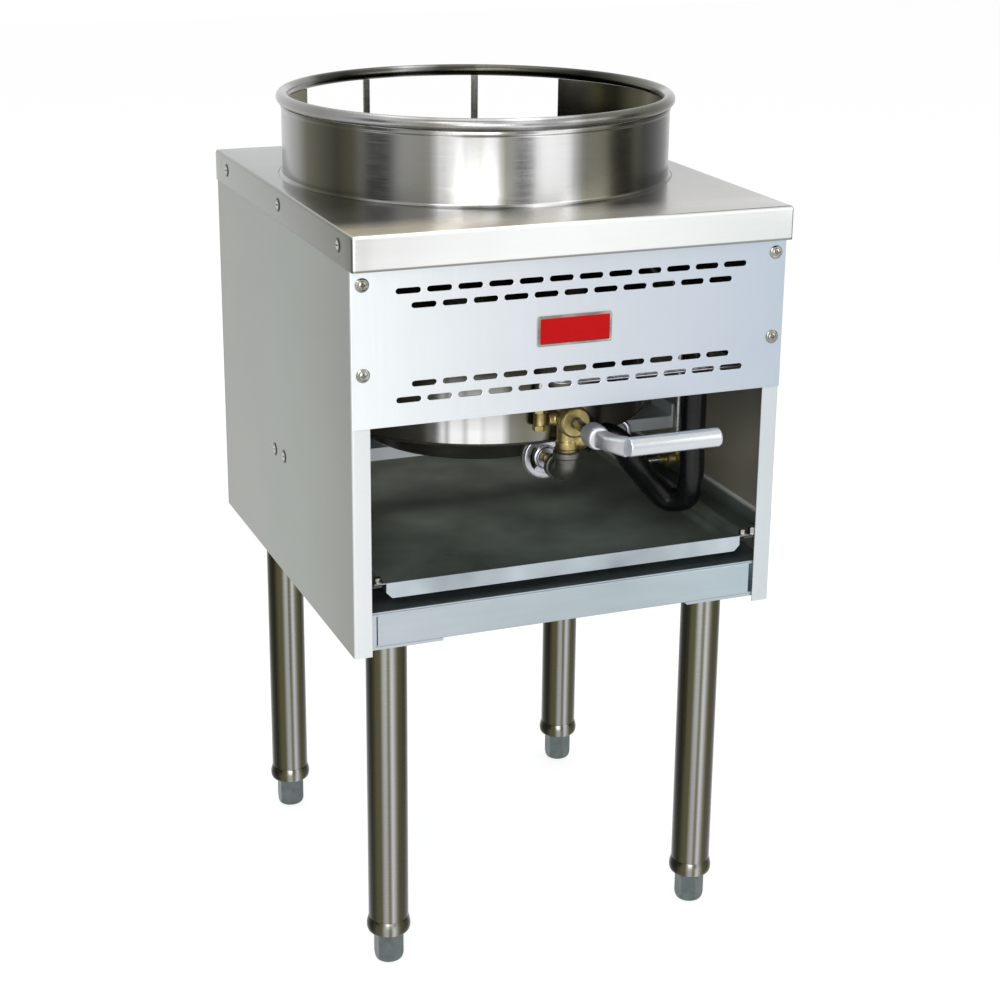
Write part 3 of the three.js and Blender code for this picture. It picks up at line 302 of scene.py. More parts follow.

# %% [markdown]
# ## Finishes of the sheet steel
# All the sheet is one stainless, and the tone of each face is painted light: the deck is
# rubbed in every direction by pans and carries painted reflections, the flange a painted
# highlight, the left side painted shade as it faces away from the lamp, and the slotted panel
# a painted blue-white reflection. Each gets its own tone and direction of grain from one helper.

# %% Sheet steel
# Painted highlight on the front face of the deck's flange, lightest at the left.
FLANGE = ("y", -0.2572, -0.2586, ("x", [(-0.23, (255, 255, 254)), (0.0, (247, 250, 249)),
                                        (0.23, (222, 226, 224))]), 0.6)
# Painted reflection on the deck's front bend: light at the left, a dark line from the middle to
# the right.
BEND = ("y", -0.2558, -0.2565, ("x", [(0.0, (210, 210, 204)), (0.10, (112, 112, 104)),
                                      (0.23, (92, 92, 84))]))
# Painted shadow: a dark line along the lowest edge of the flange, over the panel.
HEM_SHADOW = ("z", 0.7668, 0.7656, ("x", [(-0.22, (150, 148, 138)), (0.22, (140, 142, 138))]), 0.6)
# Painted reflection on the deck in front of the ring, warm and light at the left.
FORE_REFLECTION = ("y", -0.192, -0.228, ("x", [(-0.235, (216, 208, 184)), (-0.12, (202, 195, 176)),
                                    (-0.05, (186, 182, 172)), (0.1, (178, 177, 172)),
                                    (0.23, (190, 190, 186))]), 0.5)
# Painted shade on the deck's side flanges, darkest at the front.
DECK_SIDES_SHADE = ("ax", 0.2272, 0.2292, ("y", [(-0.25, (88, 89, 80)), (0.0, (134, 137, 131)),
                                           (0.25, (150, 153, 147))]))
# The deck's own drift is painted reflection: lighter and warmer at the front, greyer behind.
DECK = brushed("deck_steel", ("y", [(-0.26, (188, 184, 174)), (-0.19, (178, 177, 173)),
                                    (0.05, (150, 154, 154)), (0.25, (162, 165, 164))]),
               0.24, (8, 700, 700), 0.022, 0.06, bump=0.004,
               zones=[FORE_REFLECTION, BEND, FLANGE, HEM_SHADOW, DECK_SIDES_SHADE])
# Painted light on the front faces of the side panels, bright like the front panel.
POST_LIGHT = ("y", -0.2450, -0.2468, ("x", [(-0.22, (222, 226, 227)), (0.22, (206, 213, 217))]))
# Painted light and shade on the inner faces of the side panels: lighter low down, darker under
# the deck.
WALLS_LIGHT_AND_SHADE = ("ax", 0.2280, 0.2276, ("z", [(0.37, (172, 168, 154)), (0.80, (122, 117, 104))]), 0.45)
# The side panels' tone is painted shade: they face away from the lamps and stay darker than the
# front.
SIDE = brushed("side_steel", ("y", [(-0.2475, (146, 147, 141)), (-0.1, (154, 159, 153)),
                                    (0.05, (157, 162, 156)), (0.246, (157, 158, 153))]),
               0.42, (500, 10, 500), 0.022, 0.05, bump=0.005, zones=[WALLS_LIGHT_AND_SHADE, POST_LIGHT])
# Painted shade, with a little burner black, on the back face of the slotted panel and deep in its
# slots.
INSIDE = ("y", -0.2484, -0.2477, ("z", [(0.61, (72, 69, 58)), (0.80, (60, 58, 50))]), 0.5)
# The front panel's drift is painted reflection: whitest at the left, bluer and darker at the
# right.
FRONT = brushed("front_steel", ("x", [(-0.23, (238, 243, 244)), (0.0, (208, 213, 220)),
                                      (0.23, (184, 195, 207))]),
                0.40, (600, 600, 9), 0.02, 0.04, bump=0.005, zones=[INSIDE])
GALVANISED = brushed("galvanised", ("x", [(-0.2, (184, 193, 199)), (0.2, (178, 193, 199))]),
                     0.44, (12, 160, 160), 0.06, 0.12)
# The tray's drift is painted light: a bright front face on the lip, painted shade just behind it,
# lighter towards the back.
TRAY = brushed("tray_steel", ("y", [(-0.244, (208, 220, 228)), (-0.2425, (112, 123, 114)),
                                    (-0.1, (160, 171, 160)), (0.2, (236, 245, 232))]),
               0.24, (14, 60, 60), 0.03, 0.60, bump=0.006, metallic=0.45)
# Painted light on the burner bracket: lighter at the left.
BRACKET = brushed("bracket_steel", ("x", [(-0.2, (236, 242, 250)), (0.2, (214, 224, 226))]),
                  0.5, (12, 160, 160), 0.05, 0.12, metallic=0.2)
# The screw heads are painted: painted shade on the skirt next to the wall, a painted highlight on
# the crown.
DECK_SCREW_SHADE_AND_HIGHLIGHT, SIDE_SCREW_SHADE_AND_HIGHLIGHT = (
    brushed(name, ("ax", [(wall + 0.0003, (34, 34, 30)), (wall + 0.0008, (96, 96, 90)),
                          (wall + 0.0012, (216, 216, 210))]), 0.2)
    for name, wall in (("deck_screw", 0.2300), ("side_screw", 0.2285)))
# Painted shade low on the runners and a painted highlight along their top edge.
RUNNER_SHADE_AND_HIGHLIGHT = brushed("runner_steel", ("z", [(0.446, (70, 80, 74)), (0.462, (104, 114, 108)),
                                        (0.4655, (216, 220, 216)), (0.4675, (226, 230, 227))]),
                 0.42, (12, 160, 160), 0.05, 0.20, metallic=0.3)
print("sheet finishes:", DECK.name, SIDE.name, FRONT.name, GALVANISED.name, TRAY.name)

# %% [markdown]
# ## Other finishes
# Brass castings, a grey malleable elbow, satin aluminium, black pipe and scale-dark iron
# differ mostly in colour and in how coarse their skin is, so one helper with a colour, a
# roughness and the size and depth of the skin makes them all.

# %% Cast, turned and painted metal
def cast(name, color, rough, grain, depth, metallic=1.0, spread=0.15, gloss=None):
    """A skin of bumps of one size, with patches lighter and darker by the spread. The
    gloss, where it is given, is the shader's specular level."""
    tree = Tree(name)
    skin = tree.noise(tree.place(), grain)
    patch = tree.noise(tree.place(), grain / 9, 2.0, 0.5)
    dark, light = (tuple(min(1.0, part * (1 + change)) for part in linear(*color)[:3]) + (1.0,)
                   for change in (-spread, spread))
    base = tree.mix(tree.even(patch), dark, light)
    tree.bump(skin, 0.6, depth)
    if gloss is not None:
        tree.shader.inputs["Specular IOR Level"].default_value = gloss
    return tree.finish(base, tree.even(skin, rough - 0.06, rough + 0.08), metallic)


BRASS = cast("brass", (160, 145, 97), 0.37, 900, 0.00006, 0.9, 0.26)
MALLEABLE = cast("malleable_iron", (108, 108, 102), 0.46, 1100, 0.00010, 0.85)
ALUMINIUM = cast("aluminium", (208, 210, 218), 0.30, 1500, 0.00002)
STEM = cast("stem_steel", (150, 148, 142), 0.32, 1500, 0.00002)
BLACK_PIPE = cast("black_pipe", (10, 11, 13), 0.29, 700, 0.00005, 0.0, 0.25, 0.28)
MOUTH = cast("mouth_casting", (132, 138, 126), 0.5, 380, 0.00014, 0.6)
IRON = cast("scaled_iron", (60, 55, 50), 0.7, 500, 0.00012, 0.6, 0.3)
# The drum's spun base is painted dark: painted shade under the drum.
DRUM_BASE_SHADE = cast("drum_base_shade", (56, 55, 47), 0.5, 260, 0.00010, 0.4, 0.35)
FOOT = cast("foot_steel", (100, 108, 108), 0.34, 900, 0.00003)
print("turned and cast finishes ready")

# %% [markdown]
# ## Polished rounds
# A polished round wall mirrors the room as upright bands. A mirror of the room alone
# gives bands that are too soft, so the bands are painted reflections and highlights: a
# colour ramp read by the angle round the piece's own axis from the side that faces the
# camera: angle = atan2(y, x), measured in Object coordinates.

# %% Bands round an axis
CAMERA_SIDE = math.radians(-110.9)      # the side of the ring that faces the camera, where the painted bands start


def warmed(grey, warmth):
    """A grey on screen whose shade is warm: its blue falls away below a middle grey."""
    dark = min(1.0, max(0.0, (150 - grey) / 70))
    return linear(grey, grey * (1 - 0.1 * warmth * dark), grey * (1 - warmth * dark))


def banded(name, centre, stops, rough=0.2, grain=0.05, warmth=0.2, fade=None, inner_shade=None):
    """A ramp of painted reflection bands over the angle round the upright axis through the
    centre. A stop is (degrees from the camera's side, grey on screen). Fine level streaks
    lie over it. With a fade of (height, height, grey) the bands pass into one painted shade
    between the two heights. Nearer the axis than a given radius, the inner wall has other stops,
    of painted shade and reflection."""
    tree = Tree(name)
    coordinates = tree.add("TexCoord").outputs["Object"]
    moved = tree.add("Mapping", {"Vector": coordinates, "Location": (-centre[0], -centre[1], 0)})
    facing = tree.add("Mapping", {"Vector": moved.outputs[0], "Rotation": (0, 0, -CAMERA_SIDE)})
    ahead, beside, _ = tree.add("SeparateXYZ", {0: facing.outputs[0]}).outputs
    place = tree.span(tree.math("ARCTAN2", beside, ahead), 0.0, 1.0, -math.pi, math.pi)

    def bands(stops, warmth):
        """Degrees from the side facing the camera become a position: 1/2 + degrees / 360."""
        return tree.ramp(place, [(0.5 + degrees / 360, warmed(grey, warmth))
                                 for degrees, grey in stops])

    base = bands(stops, warmth)
    if inner_shade:
        squares = [tree.math("MULTIPLY", part, part) for part in (ahead, beside)]
        radius = tree.math("SQRT", tree.math("ADD", *squares))
        base = tree.mix(tree.math("LESS_THAN", radius, inner_shade[0]), base, bands(inner_shade[1], 0.32))
    streaks = tree.noise(tree.place((25, 25, 1100)), 1.0)
    base = tree.shaded(base, streaks, grain)
    if fade:
        base = tree.mix(tree.span(tree.axis("z"), 0, 1, fade[0], fade[1]), base,
                        warmed(fade[2], 0.2))
    tree.bump(streaks, 0.03, 0.0005)
    return tree.finish(base, tree.even(streaks, rough - 0.03, rough + 0.05))


RING_CENTRE = (0.0, 0.026)
# Painted reflections and highlights round the ring's outer wall.
RING_REFLECTION_BANDS = [
    (-180, 150), (-128, 190), (-96, 120), (-82, 158), (-70, 156), (-62, 135), (-56, 92),
    (-42, 60), (-36, 78), (-28, 148), (-21, 142), (-13.4, 130), (-12, 140), (-10, 195),
    (-7, 196), (-4.5, 186), (-3, 150), (1.5, 142), (3.4, 158), (5.5, 156), (8, 118),
    (13, 178), (17, 252), (26, 224), (28.5, 160), (31.4, 112), (38, 110), (46, 100),
    (56, 40), (72, 12), (86, 150), (150, 110),
]
# Painted shade and reflection bands on the ring's inner wall.
INNER_SHADE_BANDS = [(-180, 90), (-120, 112), (-108, 104), (-60, 80), (0, 74), (60, 60), (108, 84),
              (112, 92), (116, 80), (121, 72), (126, 52), (129, 36), (134, 44), (138, 76),
              (148, 136), (156, 110), (180, 90)]
RING = banded("ring_steel", RING_CENTRE, RING_REFLECTION_BANDS, 0.22, inner_shade=(0.205, INNER_SHADE_BANDS))
# Painted reflections round the rim tube.
RIM_REFLECTION_BANDS = [
    (-180, 66), (-168, 64), (-156, 158), (-150, 86), (-132, 48), (-120, 60), (-114, 128),
    (-102, 142), (-90, 185), (-66, 158), (-48, 134), (-36, 150), (-24, 176), (-12, 124),
    (-9, 138), (6, 150), (12, 205), (16, 200), (19, 156), (27, 150), (31, 108), (44, 104),
    (60, 84), (70, 98), (82, 156), (92, 186), (100, 128), (120, 98), (132, 60), (142, 36),
    (158, 70), (172, 84),
]
# The rim's fade is painted shade: below 0.8765 m the tube darkens, a dark line over the ring
# wall.
RIM = banded("rim_steel", RING_CENTRE, RIM_REFLECTION_BANDS, 0.26, 0.03, 0.12, (0.8765, 0.868, 50))
# Painted reflections and bright painted highlights round the drum below the panel.
DRUM_REFLECTION_BANDS = [
    (-180, 110), (-60, 118), (-35, 138), (-22, 150), (-16, 140), (-14, 215), (-9, 232),
    (-8.3, 150), (-7.6, 235), (-3.6, 228), (-3, 165), (-2.4, 232), (2.6, 236), (3.2, 150),
    (3.8, 225), (9, 222), (10.5, 132), (16, 112), (22, 132), (40, 150), (60, 130), (90, 110),
]
# The drum's fade is painted shade: above 0.562 m, inside the cabinet, the bands pass into dark
# grey.
DRUM = banded("drum_steel", RING_CENTRE, DRUM_REFLECTION_BANDS, 0.18, 0.08, 0.2, (0.562, 0.625, 46))
print("bands:", RING.name, RIM.name, DRUM.name)

# %% Leg steel
LEG_PLACES = {"front_left": (-0.178, -0.193), "front_right": (0.178, -0.193),
              "rear_left": (-0.178, 0.185), "rear_right": (0.178, 0.185)}
# Painted reflection bands round each leg; LEG_TURN turns them a little for each leg.
LEG_REFLECTION_BANDS = [
    (-170, 176), (-130, 138), (-112, 186), (-92, 168), (-80, 60), (-62, 30), (-45, 33),
    (-36, 60), (-29, 79), (-16, 84), (-11, 124), (-6, 154), (1, 155), (5.6, 110), (10, 116),
    (14, 168), (18, 184), (23, 157), (29, 114), (36, 78), (50, 62), (66, 48), (80, 84),
    (92, 168), (112, 142), (135, 190),
]
LEG_TURN = {"front_left": 0, "front_right": -3, "rear_left": 9, "rear_right": 4}
LEG = {word: banded("leg_steel_" + word, place,
                    [(degrees + LEG_TURN[word], grey) for degrees, grey in LEG_REFLECTION_BANDS],
                    0.24, 0.05, 0.3)
       for word, place in LEG_PLACES.items()}
print("leg finishes:", len(LEG))

# %% [markdown]
# ## Finishes on the frame's solids
# Many solids of the frame already have the right shape, so they only need a finish in
# their own material slot. The others are replaced further down by smoother pieces.

# %% Finish every solid of the frame
FINISH = {}
for finish, names in (
        (DECK, "top_cover"), (RING, "wok_ring"), (RIM, "ring_rim"), (FRONT, "front_panel"),
        (SIDE, "left_side_panel right_side_panel back_panel"), (DRUM, "combustion_drum"),
        (DRUM_BASE_SHADE, "drum_base"), (BRACKET, "burner_bracket"), (TRAY, "drip_tray"),
        (GALVANISED, "front_rail rear_rail left_rail right_rail bottom_panel pipe_clip"),
        (RUNNER_SHADE_AND_HIGHLIGHT, "tray_runner_left tray_runner_right"), (IRON, "mixing_tube burner_head"),
        (STEM, "ring_strut_left ring_strut_right valve_stem"),
        (BRASS, "jet_crown orifice_spud valve_body valve_bonnet pilot_take_off"),
        (BRASS, "pilot_valve pilot_burner"), (MALLEABLE, "valve_elbow inlet_coupling"),
        (ALUMINIUM, "air_shutter valve_lever lever_grip pilot_feed_tube pilot_tube"),
        (BLACK_PIPE, "inlet_union supply_pipe gas_inlet_nipple")):
    FINISH.update(dict.fromkeys(names.split(), finish))
for word in LEG_PLACES:
    FINISH["leg_plate_" + word] = GALVANISED
    FINISH["leg_tube_" + word] = FINISH["leg_collar_" + word] = LEG[word]
    FINISH["foot_" + word] = FOOT
for name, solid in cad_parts.items():
    for place in solid.material_slots:
        place.material = FINISH[name]
print("solids finished:", len(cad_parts))

# %% [markdown]
# ## Surfaces from formulas
# The pieces below are turned, drawn or folded on the real range, so their shapes are short
# formulas: a profile turned about an axis, or a section carried along a path. Each formula
# fills a grid of points at once, and one helper makes a closed mesh of any such grid.

# %% From a grid of points to a piece
def outward(points, faces):
    """Six times the enclosed volume is the sum over triangles of a . (b x c). When it is
    negative the faces point inwards, so every face is turned round."""
    total = 0.0
    for size in sorted({len(face) for face in faces}):
        ring = np.array([face for face in faces if len(face) == size])
        a = points[ring[:, 0]]
        for k in range(1, size - 1):
            b, c = points[ring[:, k]], points[ring[:, k + 1]]
            total += float(np.einsum("ij,ij->", a, np.cross(b, c)))
    return faces if total >= 0 else [face[::-1] for face in faces]


def shell(grid, closed=True):
    """The faces of a grid of rows x columns of points. The columns run round a section.
    The rows run round too when closed, and otherwise the first and last row get a cap."""
    rows, columns = grid.shape[:2]
    i, j = np.meshgrid(np.arange(rows if closed else rows - 1), np.arange(columns),
                       indexing="ij")
    ahead, beside = (i + 1) % rows, (j + 1) % columns
    quads = np.stack([i * columns + j, i * columns + beside, ahead * columns + beside,
                      ahead * columns + j], axis=-1).reshape(-1, 4)
    faces = quads.tolist()
    if not closed:
        faces.append(list(range(columns))[::-1])
        faces.append([(rows - 1) * columns + k for k in range(columns)])
    points = grid.reshape(-1, 3)
    return points, outward(points, faces)


WELD = 1e-7                        # metres between two points that are the same point


def piece(name, parts, material, slot, body=CABINET, replaces=(), crease=38):
    """One object from several shells of millimetre points. Points that meet on an axis are
    merged, and edges sharper than the crease, in degrees, stay sharp."""
    points, faces = [], []
    for more_points, more_faces in parts:
        start = sum(len(p) for p in points)
        points.append(more_points)
        faces += [[start + corner for corner in face] for face in more_faces]
    mesh = bpy.data.meshes.new(name)
    mesh.from_pydata((np.concatenate(points) * MM).tolist(), [], faces)
    work = bmesh.new()
    work.from_mesh(mesh)
    bmesh.ops.remove_doubles(work, verts=work.verts, dist=WELD)
    bmesh.ops.dissolve_degenerate(work, edges=work.edges, dist=WELD)
    work.to_mesh(mesh)
    work.free()
    mesh.shade_smooth()
    mesh.set_sharp_from_angle(angle=math.radians(crease))
    mesh.materials.append(material)
    made = bpy.data.objects.new(name, mesh)
    scene.collection.objects.link(made)
    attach(made, body)
    if replaces:
        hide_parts(*replaces)
    return made


def bowed(t, enter, corner, leave):
    """A bend from E to L round the corner P: (1-t)^2 E + 2t(1-t) P + t^2 L."""
    return (1 - t) ** 2 * enter + 2 * t * (1 - t) * corner + t ** 2 * leave


def rounded(profile, radius, steps=4):
    """Each corner P of a closed outline becomes a bend between the points at the radius
    from P along its two edges."""
    corner = np.asarray(profile, float)
    reach = np.broadcast_to(np.asarray(radius, float), (len(corner),))[:, None]
    ends = []
    for shift in (1, -1):
        edge = np.roll(corner, shift, 0) - corner
        length = np.linalg.norm(edge, axis=1, keepdims=True)
        ends.append(corner + edge / length * np.minimum(reach, 0.45 * length))
    enter, leave = ends
    bend = bowed(np.linspace(0, 1, steps)[None, :, None], enter[:, None], corner[:, None],
                 leave[:, None])
    return bend.reshape(-1, corner.shape[1])


def laid(axis, first, second, height):
    """Two rows of numbers across an axis and one along it become x, y and z."""
    order = {"z": (first, second, height), "y": (first, height, second),
             "x": (height, first, second)}[axis]
    return np.stack(order, axis=-1)


def revolved(profile, centre, axis="z", around=96, reach=None):
    """Every [radius r, height h] point of the profile is turned about the axis:
    (centre + r cos a, centre + r sin a) across the axis and h along it. A reach function of
    (angle, radius) may change the radius, as a hexagon does."""
    profile = np.asarray(profile, float)
    angle = np.linspace(0, 2 * np.pi, around, endpoint=False)[:, None]
    radius = np.broadcast_to(profile[None, :, 0], (around, len(profile)))
    if reach is not None:
        radius = reach(angle, radius)
    height = np.broadcast_to(profile[None, :, 1], radius.shape)
    return shell(laid(axis, centre[0] + radius * np.cos(angle),
                      centre[1] + radius * np.sin(angle), height))


def turned(profile, radius, centre, axis="z", around=96, reach=None, steps=4):
    """A profile with rounded corners, turned about the axis."""
    return revolved(rounded(profile, radius, steps), centre, axis, around, reach)


def carried(section, path, reference=(0.31, -0.83, 0.47)):
    """A flat section [a, b] carried along a path: at each station the tangent is the
    difference of its neighbours, side = tangent x reference, lift = side x tangent, and the
    point is path + a side + b lift. One section may serve, or one for each station."""
    path = np.asarray(path, float)
    tangent = np.gradient(path, axis=0)
    tangent /= np.linalg.norm(tangent, axis=1, keepdims=True)
    side = np.cross(tangent, reference)
    side /= np.linalg.norm(side, axis=1, keepdims=True)
    lift = np.cross(side, tangent)
    section = np.asarray(section, float)
    if section.ndim == 2:
        section = np.broadcast_to(section, (len(path), *section.shape))
    grid = path[:, None] + section[..., :1] * side[:, None] + section[..., 1:] * lift[:, None]
    return shell(grid, closed=False)


def circle(radius, around):
    """A round section: (r cos a, r sin a)."""
    angle = np.linspace(0, 2 * np.pi, around, endpoint=False)
    return np.stack([radius * np.cos(angle), radius * np.sin(angle)], axis=-1)


def drawn(outline, axis, low, high):
    """A flat outline drawn out along an axis from low to high, as folded sheet is."""
    outline = np.asarray(outline, float)
    level = np.array([[low], [high]]) * np.ones(len(outline))
    first, second = (np.broadcast_to(outline[:, k], level.shape) for k in (0, 1))
    return shell(laid(axis, first, second, level), closed=False)


print("surface helpers ready")

# %% [markdown]
# ## The wok ring
# The ring is a rolled strip with its back cut away for the flue gas. A boolean cut would
# leave ragged edges, but the cut only lowers the wall between two angles, so the height is
# one more formula: the top of the wall is a function of the angle.

# %% Wok ring, rim and struts
RING_AXIS = (0.0, 26.0)
RING_RADIUS, RING_WALL, SHEET = 206.0, 2.0, 1.5
RING_INSIDE, RING_SEAT = RING_RADIUS - RING_WALL, RING_RADIUS + 4
DECK_TOP, RIM_HEIGHT, RIM_TUBE = 798.0, 879.0, 12.7
DECK_UNDER = DECK_TOP - SHEET
RING_TOP = RIM_HEIGHT - RIM_TUBE / 2 - 0.3
WINDOW_MIDDLE, WINDOW_HALF, WINDOW_SILL, STRUT_LEAN = 88.0, 46.5, 812.0, 18.5

ring_profile = rounded([
    (RING_INSIDE, DECK_UNDER), (RING_SEAT, DECK_UNDER),
    (RING_SEAT, DECK_TOP), (RING_RADIUS + 1.9, DECK_TOP + 0.5),
    (RING_RADIUS, DECK_TOP + 2.4), (RING_RADIUS, RING_TOP - 5),
    (RING_RADIUS + 0.9, RING_TOP - 3.4), (RING_RADIUS + 0.9, RING_TOP),
    (RING_INSIDE, RING_TOP)], [0.4, 0.4, 0.6, 0.6, 1.0, 1.0, 0.8, 0.4, 0.4], 5)
edges = WINDOW_MIDDLE + np.array([-WINDOW_HALF, WINDOW_HALF])
angles = np.radians(np.sort(np.concatenate([
    np.linspace(-180, 180, 240, endpoint=False) + 0.3, edges - 0.02, edges + 0.02])))
top = np.where(np.abs(np.degrees(angles) - WINDOW_MIDDLE) < WINDOW_HALF, WINDOW_SILL, RING_TOP)
height = np.minimum(ring_profile[None, :, 1], top[:, None])
across = ring_profile[None, :, 0]
ring_grid = laid("z", RING_AXIS[0] + across * np.cos(angles)[:, None],
                 RING_AXIS[1] + across * np.sin(angles)[:, None], height)
piece("ring_wall", [shell(ring_grid)], RING, "ring_steel", replaces=["wok_ring"], crease=50)

rim_section = circle(RIM_TUBE / 2, 28) + [RING_RADIUS - RING_WALL / 2, RIM_HEIGHT]
piece("rim_tube", [revolved(rim_section, RING_AXIS, around=240)], RIM, "rim_steel",
      replaces=["ring_rim"])

for word, lean in (("left", STRUT_LEAN), ("right", -STRUT_LEAN)):
    turn = math.radians(WINDOW_MIDDLE + lean - 90)
    bar, faces = drawn(rounded([(-4, 203.5), (4, 203.5), (4, 206.5), (-4, 206.5)], 0.8), "z",
                       WINDOW_SILL, RING_TOP)
    x, y = bar[:, 0].copy(), bar[:, 1].copy()
    bar[:, 0] = RING_AXIS[0] + x * math.cos(turn) - y * math.sin(turn)
    bar[:, 1] = RING_AXIS[1] + x * math.sin(turn) + y * math.cos(turn)
    piece("strut_" + word, [(bar, faces)], STEM, "rim_steel",
          replaces=["ring_strut_" + word])
print("ring:", len(angles), "angles x", len(ring_profile), "profile points")

# %% [markdown]
# ## Drum and legs
# The burner drum is rolled and polished sheet closed by a spun base. The legs are plain
# tubes with a pressed collar and a hexagonal foot. A hexagon that has been turned in a
# lathe has round-cornered ends, and its formula says exactly that: the radius is the
# smaller of the hexagon's and the turned profile's.

# %% Drum and drum base
DRUM_RADIUS, DRUM_WALL = 190.0, 2.0
DRUM_FOOT, DISH, SKIRT_FOOT = 550.0, 542.5, 512.0
DRUM_INSIDE, DRUM_LEDGE = DRUM_RADIUS - DRUM_WALL, RING_RADIUS + 12
piece("drum_wall", [turned([
    (DRUM_INSIDE, DRUM_FOOT), (DRUM_RADIUS, DRUM_FOOT),
    (DRUM_RADIUS, DECK_UNDER - DRUM_WALL), (DRUM_LEDGE, DECK_UNDER - DRUM_WALL),
    (DRUM_LEDGE, DECK_UNDER), (DRUM_INSIDE, DECK_UNDER)],
    0.5, RING_AXIS, around=200)], DRUM, "drum_steel", replaces=["combustion_drum"])
piece("drum_pan", [turned([
    (DRUM_INSIDE, DRUM_FOOT), (DRUM_RADIUS, DRUM_FOOT),
    (DRUM_RADIUS, DRUM_FOOT - 2.5), (176, DISH), (142, DISH), (122, SKIRT_FOOT),
    (120, SKIRT_FOOT), (140, DISH + 1.6), (175.4, DISH + 1.8),
    (DRUM_INSIDE, DRUM_FOOT - 1)],
    [0.2, 0.2, 3, 6, 5, 0.6, 0.6, 5, 6, 0.3], RING_AXIS, around=160, steps=6)],
    DRUM_BASE_SHADE, "base_steel", replaces=["drum_base"])
print("drum wall and base")

# %% Legs
def hexed(across_corners):
    """With a corner at the front, the radius of a hexagon at angle a is
    c cos 30 / cos(((a + 90) mod 60) - 30). The piece takes the smaller of that and its
    turned profile."""
    def reach(angle, radius):
        part = np.mod(np.degrees(angle) + 90.0, 60.0) - 30.0
        flat = across_corners * math.cos(math.pi / 6) / np.cos(np.radians(part))
        return np.minimum(radius, flat)
    return reach


tube_profile = rounded([(19.6, 52.0), (21.1, 52.0), (21.1, 380.5), (19.6, 380.5)], 0.3)
collar_profile = rounded([
    (6.3, 35.0), (19.2, 35.0), (22.0, 36.6), (23.2, 40.5), (23.2, 45.0), (22.6, 47.6),
    (21.3, 52.0), (19.3, 52.0), (19.3, 66.0), (6.3, 66.0)],
    [0.4, 1.2, 1.4, 1.5, 1.2, 1.2, 0.4, 0.3, 0.5, 0.4], 5)
foot_profile = rounded([
    (0, 0), (10.0, 0), (14.6, 2.4), (16.0, 7.5), (16.0, 31.0), (14.4, 34.0), (6, 34.0),
    (6, 79.5), (5.2, 80), (0, 80)], [0.01, 1, 2.5, 2.0, 1.0, 0.6, 0.3, 0.3, 0.2, 0.01], 5)
for word, (x, y) in LEG_PLACES.items():
    place = (x / MM, y / MM)
    for part, profile in (("tube_", tube_profile), ("collar_", collar_profile)):
        piece(part + word, [revolved(profile, place)], LEG[word], "leg_steel",
              replaces=["leg_" + part + word])
    piece("hex_" + word, [revolved(foot_profile, place, reach=hexed(16.0))], FOOT,
          "foot_steel", body=word + "_foot", replaces=["foot_" + word], crease=20)
print("legs:", len(LEG_PLACES))

# %% [markdown]
# ## Folded rails
# Sheet that is folded shows a thin bright line along every bend. The line needs a real
# radius, so the rails are an outline with rounded corners, drawn out to their length.

# %% Rails
SIDES = ((-1, "left"), (1, "right"))
RAIL_LOW, RAIL_HIGH, RAIL_HALF = 383.5, 418.5, 205.2
SIDE_RUN = (-244.7, 243.2)         # where the side rails and the tray's runners start and end


def channel(at, to):
    """The outline of a channel: a web at one side and two flanges that reach to the other."""
    low, high, web = RAIL_LOW, RAIL_HIGH, at + math.copysign(SHEET, to - at)
    return rounded([(at, low), (to, low), (to, low + SHEET), (web, low + SHEET),
                    (web, high - SHEET), (to, high - SHEET), (to, high), (at, high)],
                   [2.2, 0.3, 0.3, 0.9, 0.9, 0.3, 0.3, 2.2], 5)


lug = rounded([(-246, 385), (-244.9, 385), (-244.9, 418.3), (-246, 418.3)], 0.3)
rails = {"front": [drawn(channel(-246, -221), "x", -RAIL_HALF, RAIL_HALF),
                   drawn(lug, "x", -209.8, -204)],
         "back": [drawn(channel(244.5, 219.5), "x", -RAIL_HALF, RAIL_HALF)]}
for side, word in SIDES:
    rails[word] = [drawn(channel(side * 227, side * 205.5), "y", *SIDE_RUN)]
for word, parts in rails.items():
    piece("rail_" + word, parts, GALVANISED, "galvanised",
          replaces=[word.replace("back", "rear") + "_rail"])
print("rails:", len(rails))

# %% [markdown]
# ## Deck and side panels
# The deck is one sheet folded down on four sides, with a round opening for the ring. Its
# top is a map from a rectangle to a circle: every point of the edge is joined by a straight
# line to the point of the opening that lies in the same direction. The same edge, moved in
# and down, makes the fold and the flange.

# %% Deck
DECK_HALF, DECK_FRONT, DECK_BACK, DECK_LOW, DECK_BEND = 230.0, -259.5, 249.0, 764.0, 3.5


def edge_at(offset, along=24, corner=7):
    """The deck's outline, moved out by the offset with its corner centres kept: a corner is
    centre + (bend + offset)(cos a, sin a), and each side is a straight row of points."""
    side, front, back = DECK_HALF - DECK_BEND, DECK_FRONT + DECK_BEND, DECK_BACK - DECK_BEND
    centres = np.array([[side, front], [side, back], [-side, back], [-side, front]])
    angle = np.radians([-90, 0, 90, 180])[:, None] + np.linspace(0, np.pi / 2, corner)[None, :]
    radius = max(DECK_BEND + offset, 0.05)
    corners = centres[:, None] + radius * np.stack([np.cos(angle), np.sin(angle)], axis=-1)
    t = np.linspace(0, 1, along + 2)[1:-1, None]
    return np.concatenate([
        run for k in range(4)
        for run in (corners[k], corners[k][-1] * (1 - t) + corners[(k + 1) % 4][0] * t)])


def at_height(edge, height):
    """The points of an edge, (x, y, height)."""
    return np.column_stack([edge, np.full(len(edge), height)])


def folded(radius, angles):
    """The bend's points (offset from the edge, height): its centre lies DECK_BEND inside."""
    return [(-DECK_BEND + radius * math.sin(angle),
             DECK_TOP - DECK_BEND + radius * math.cos(angle)) for angle in angles]


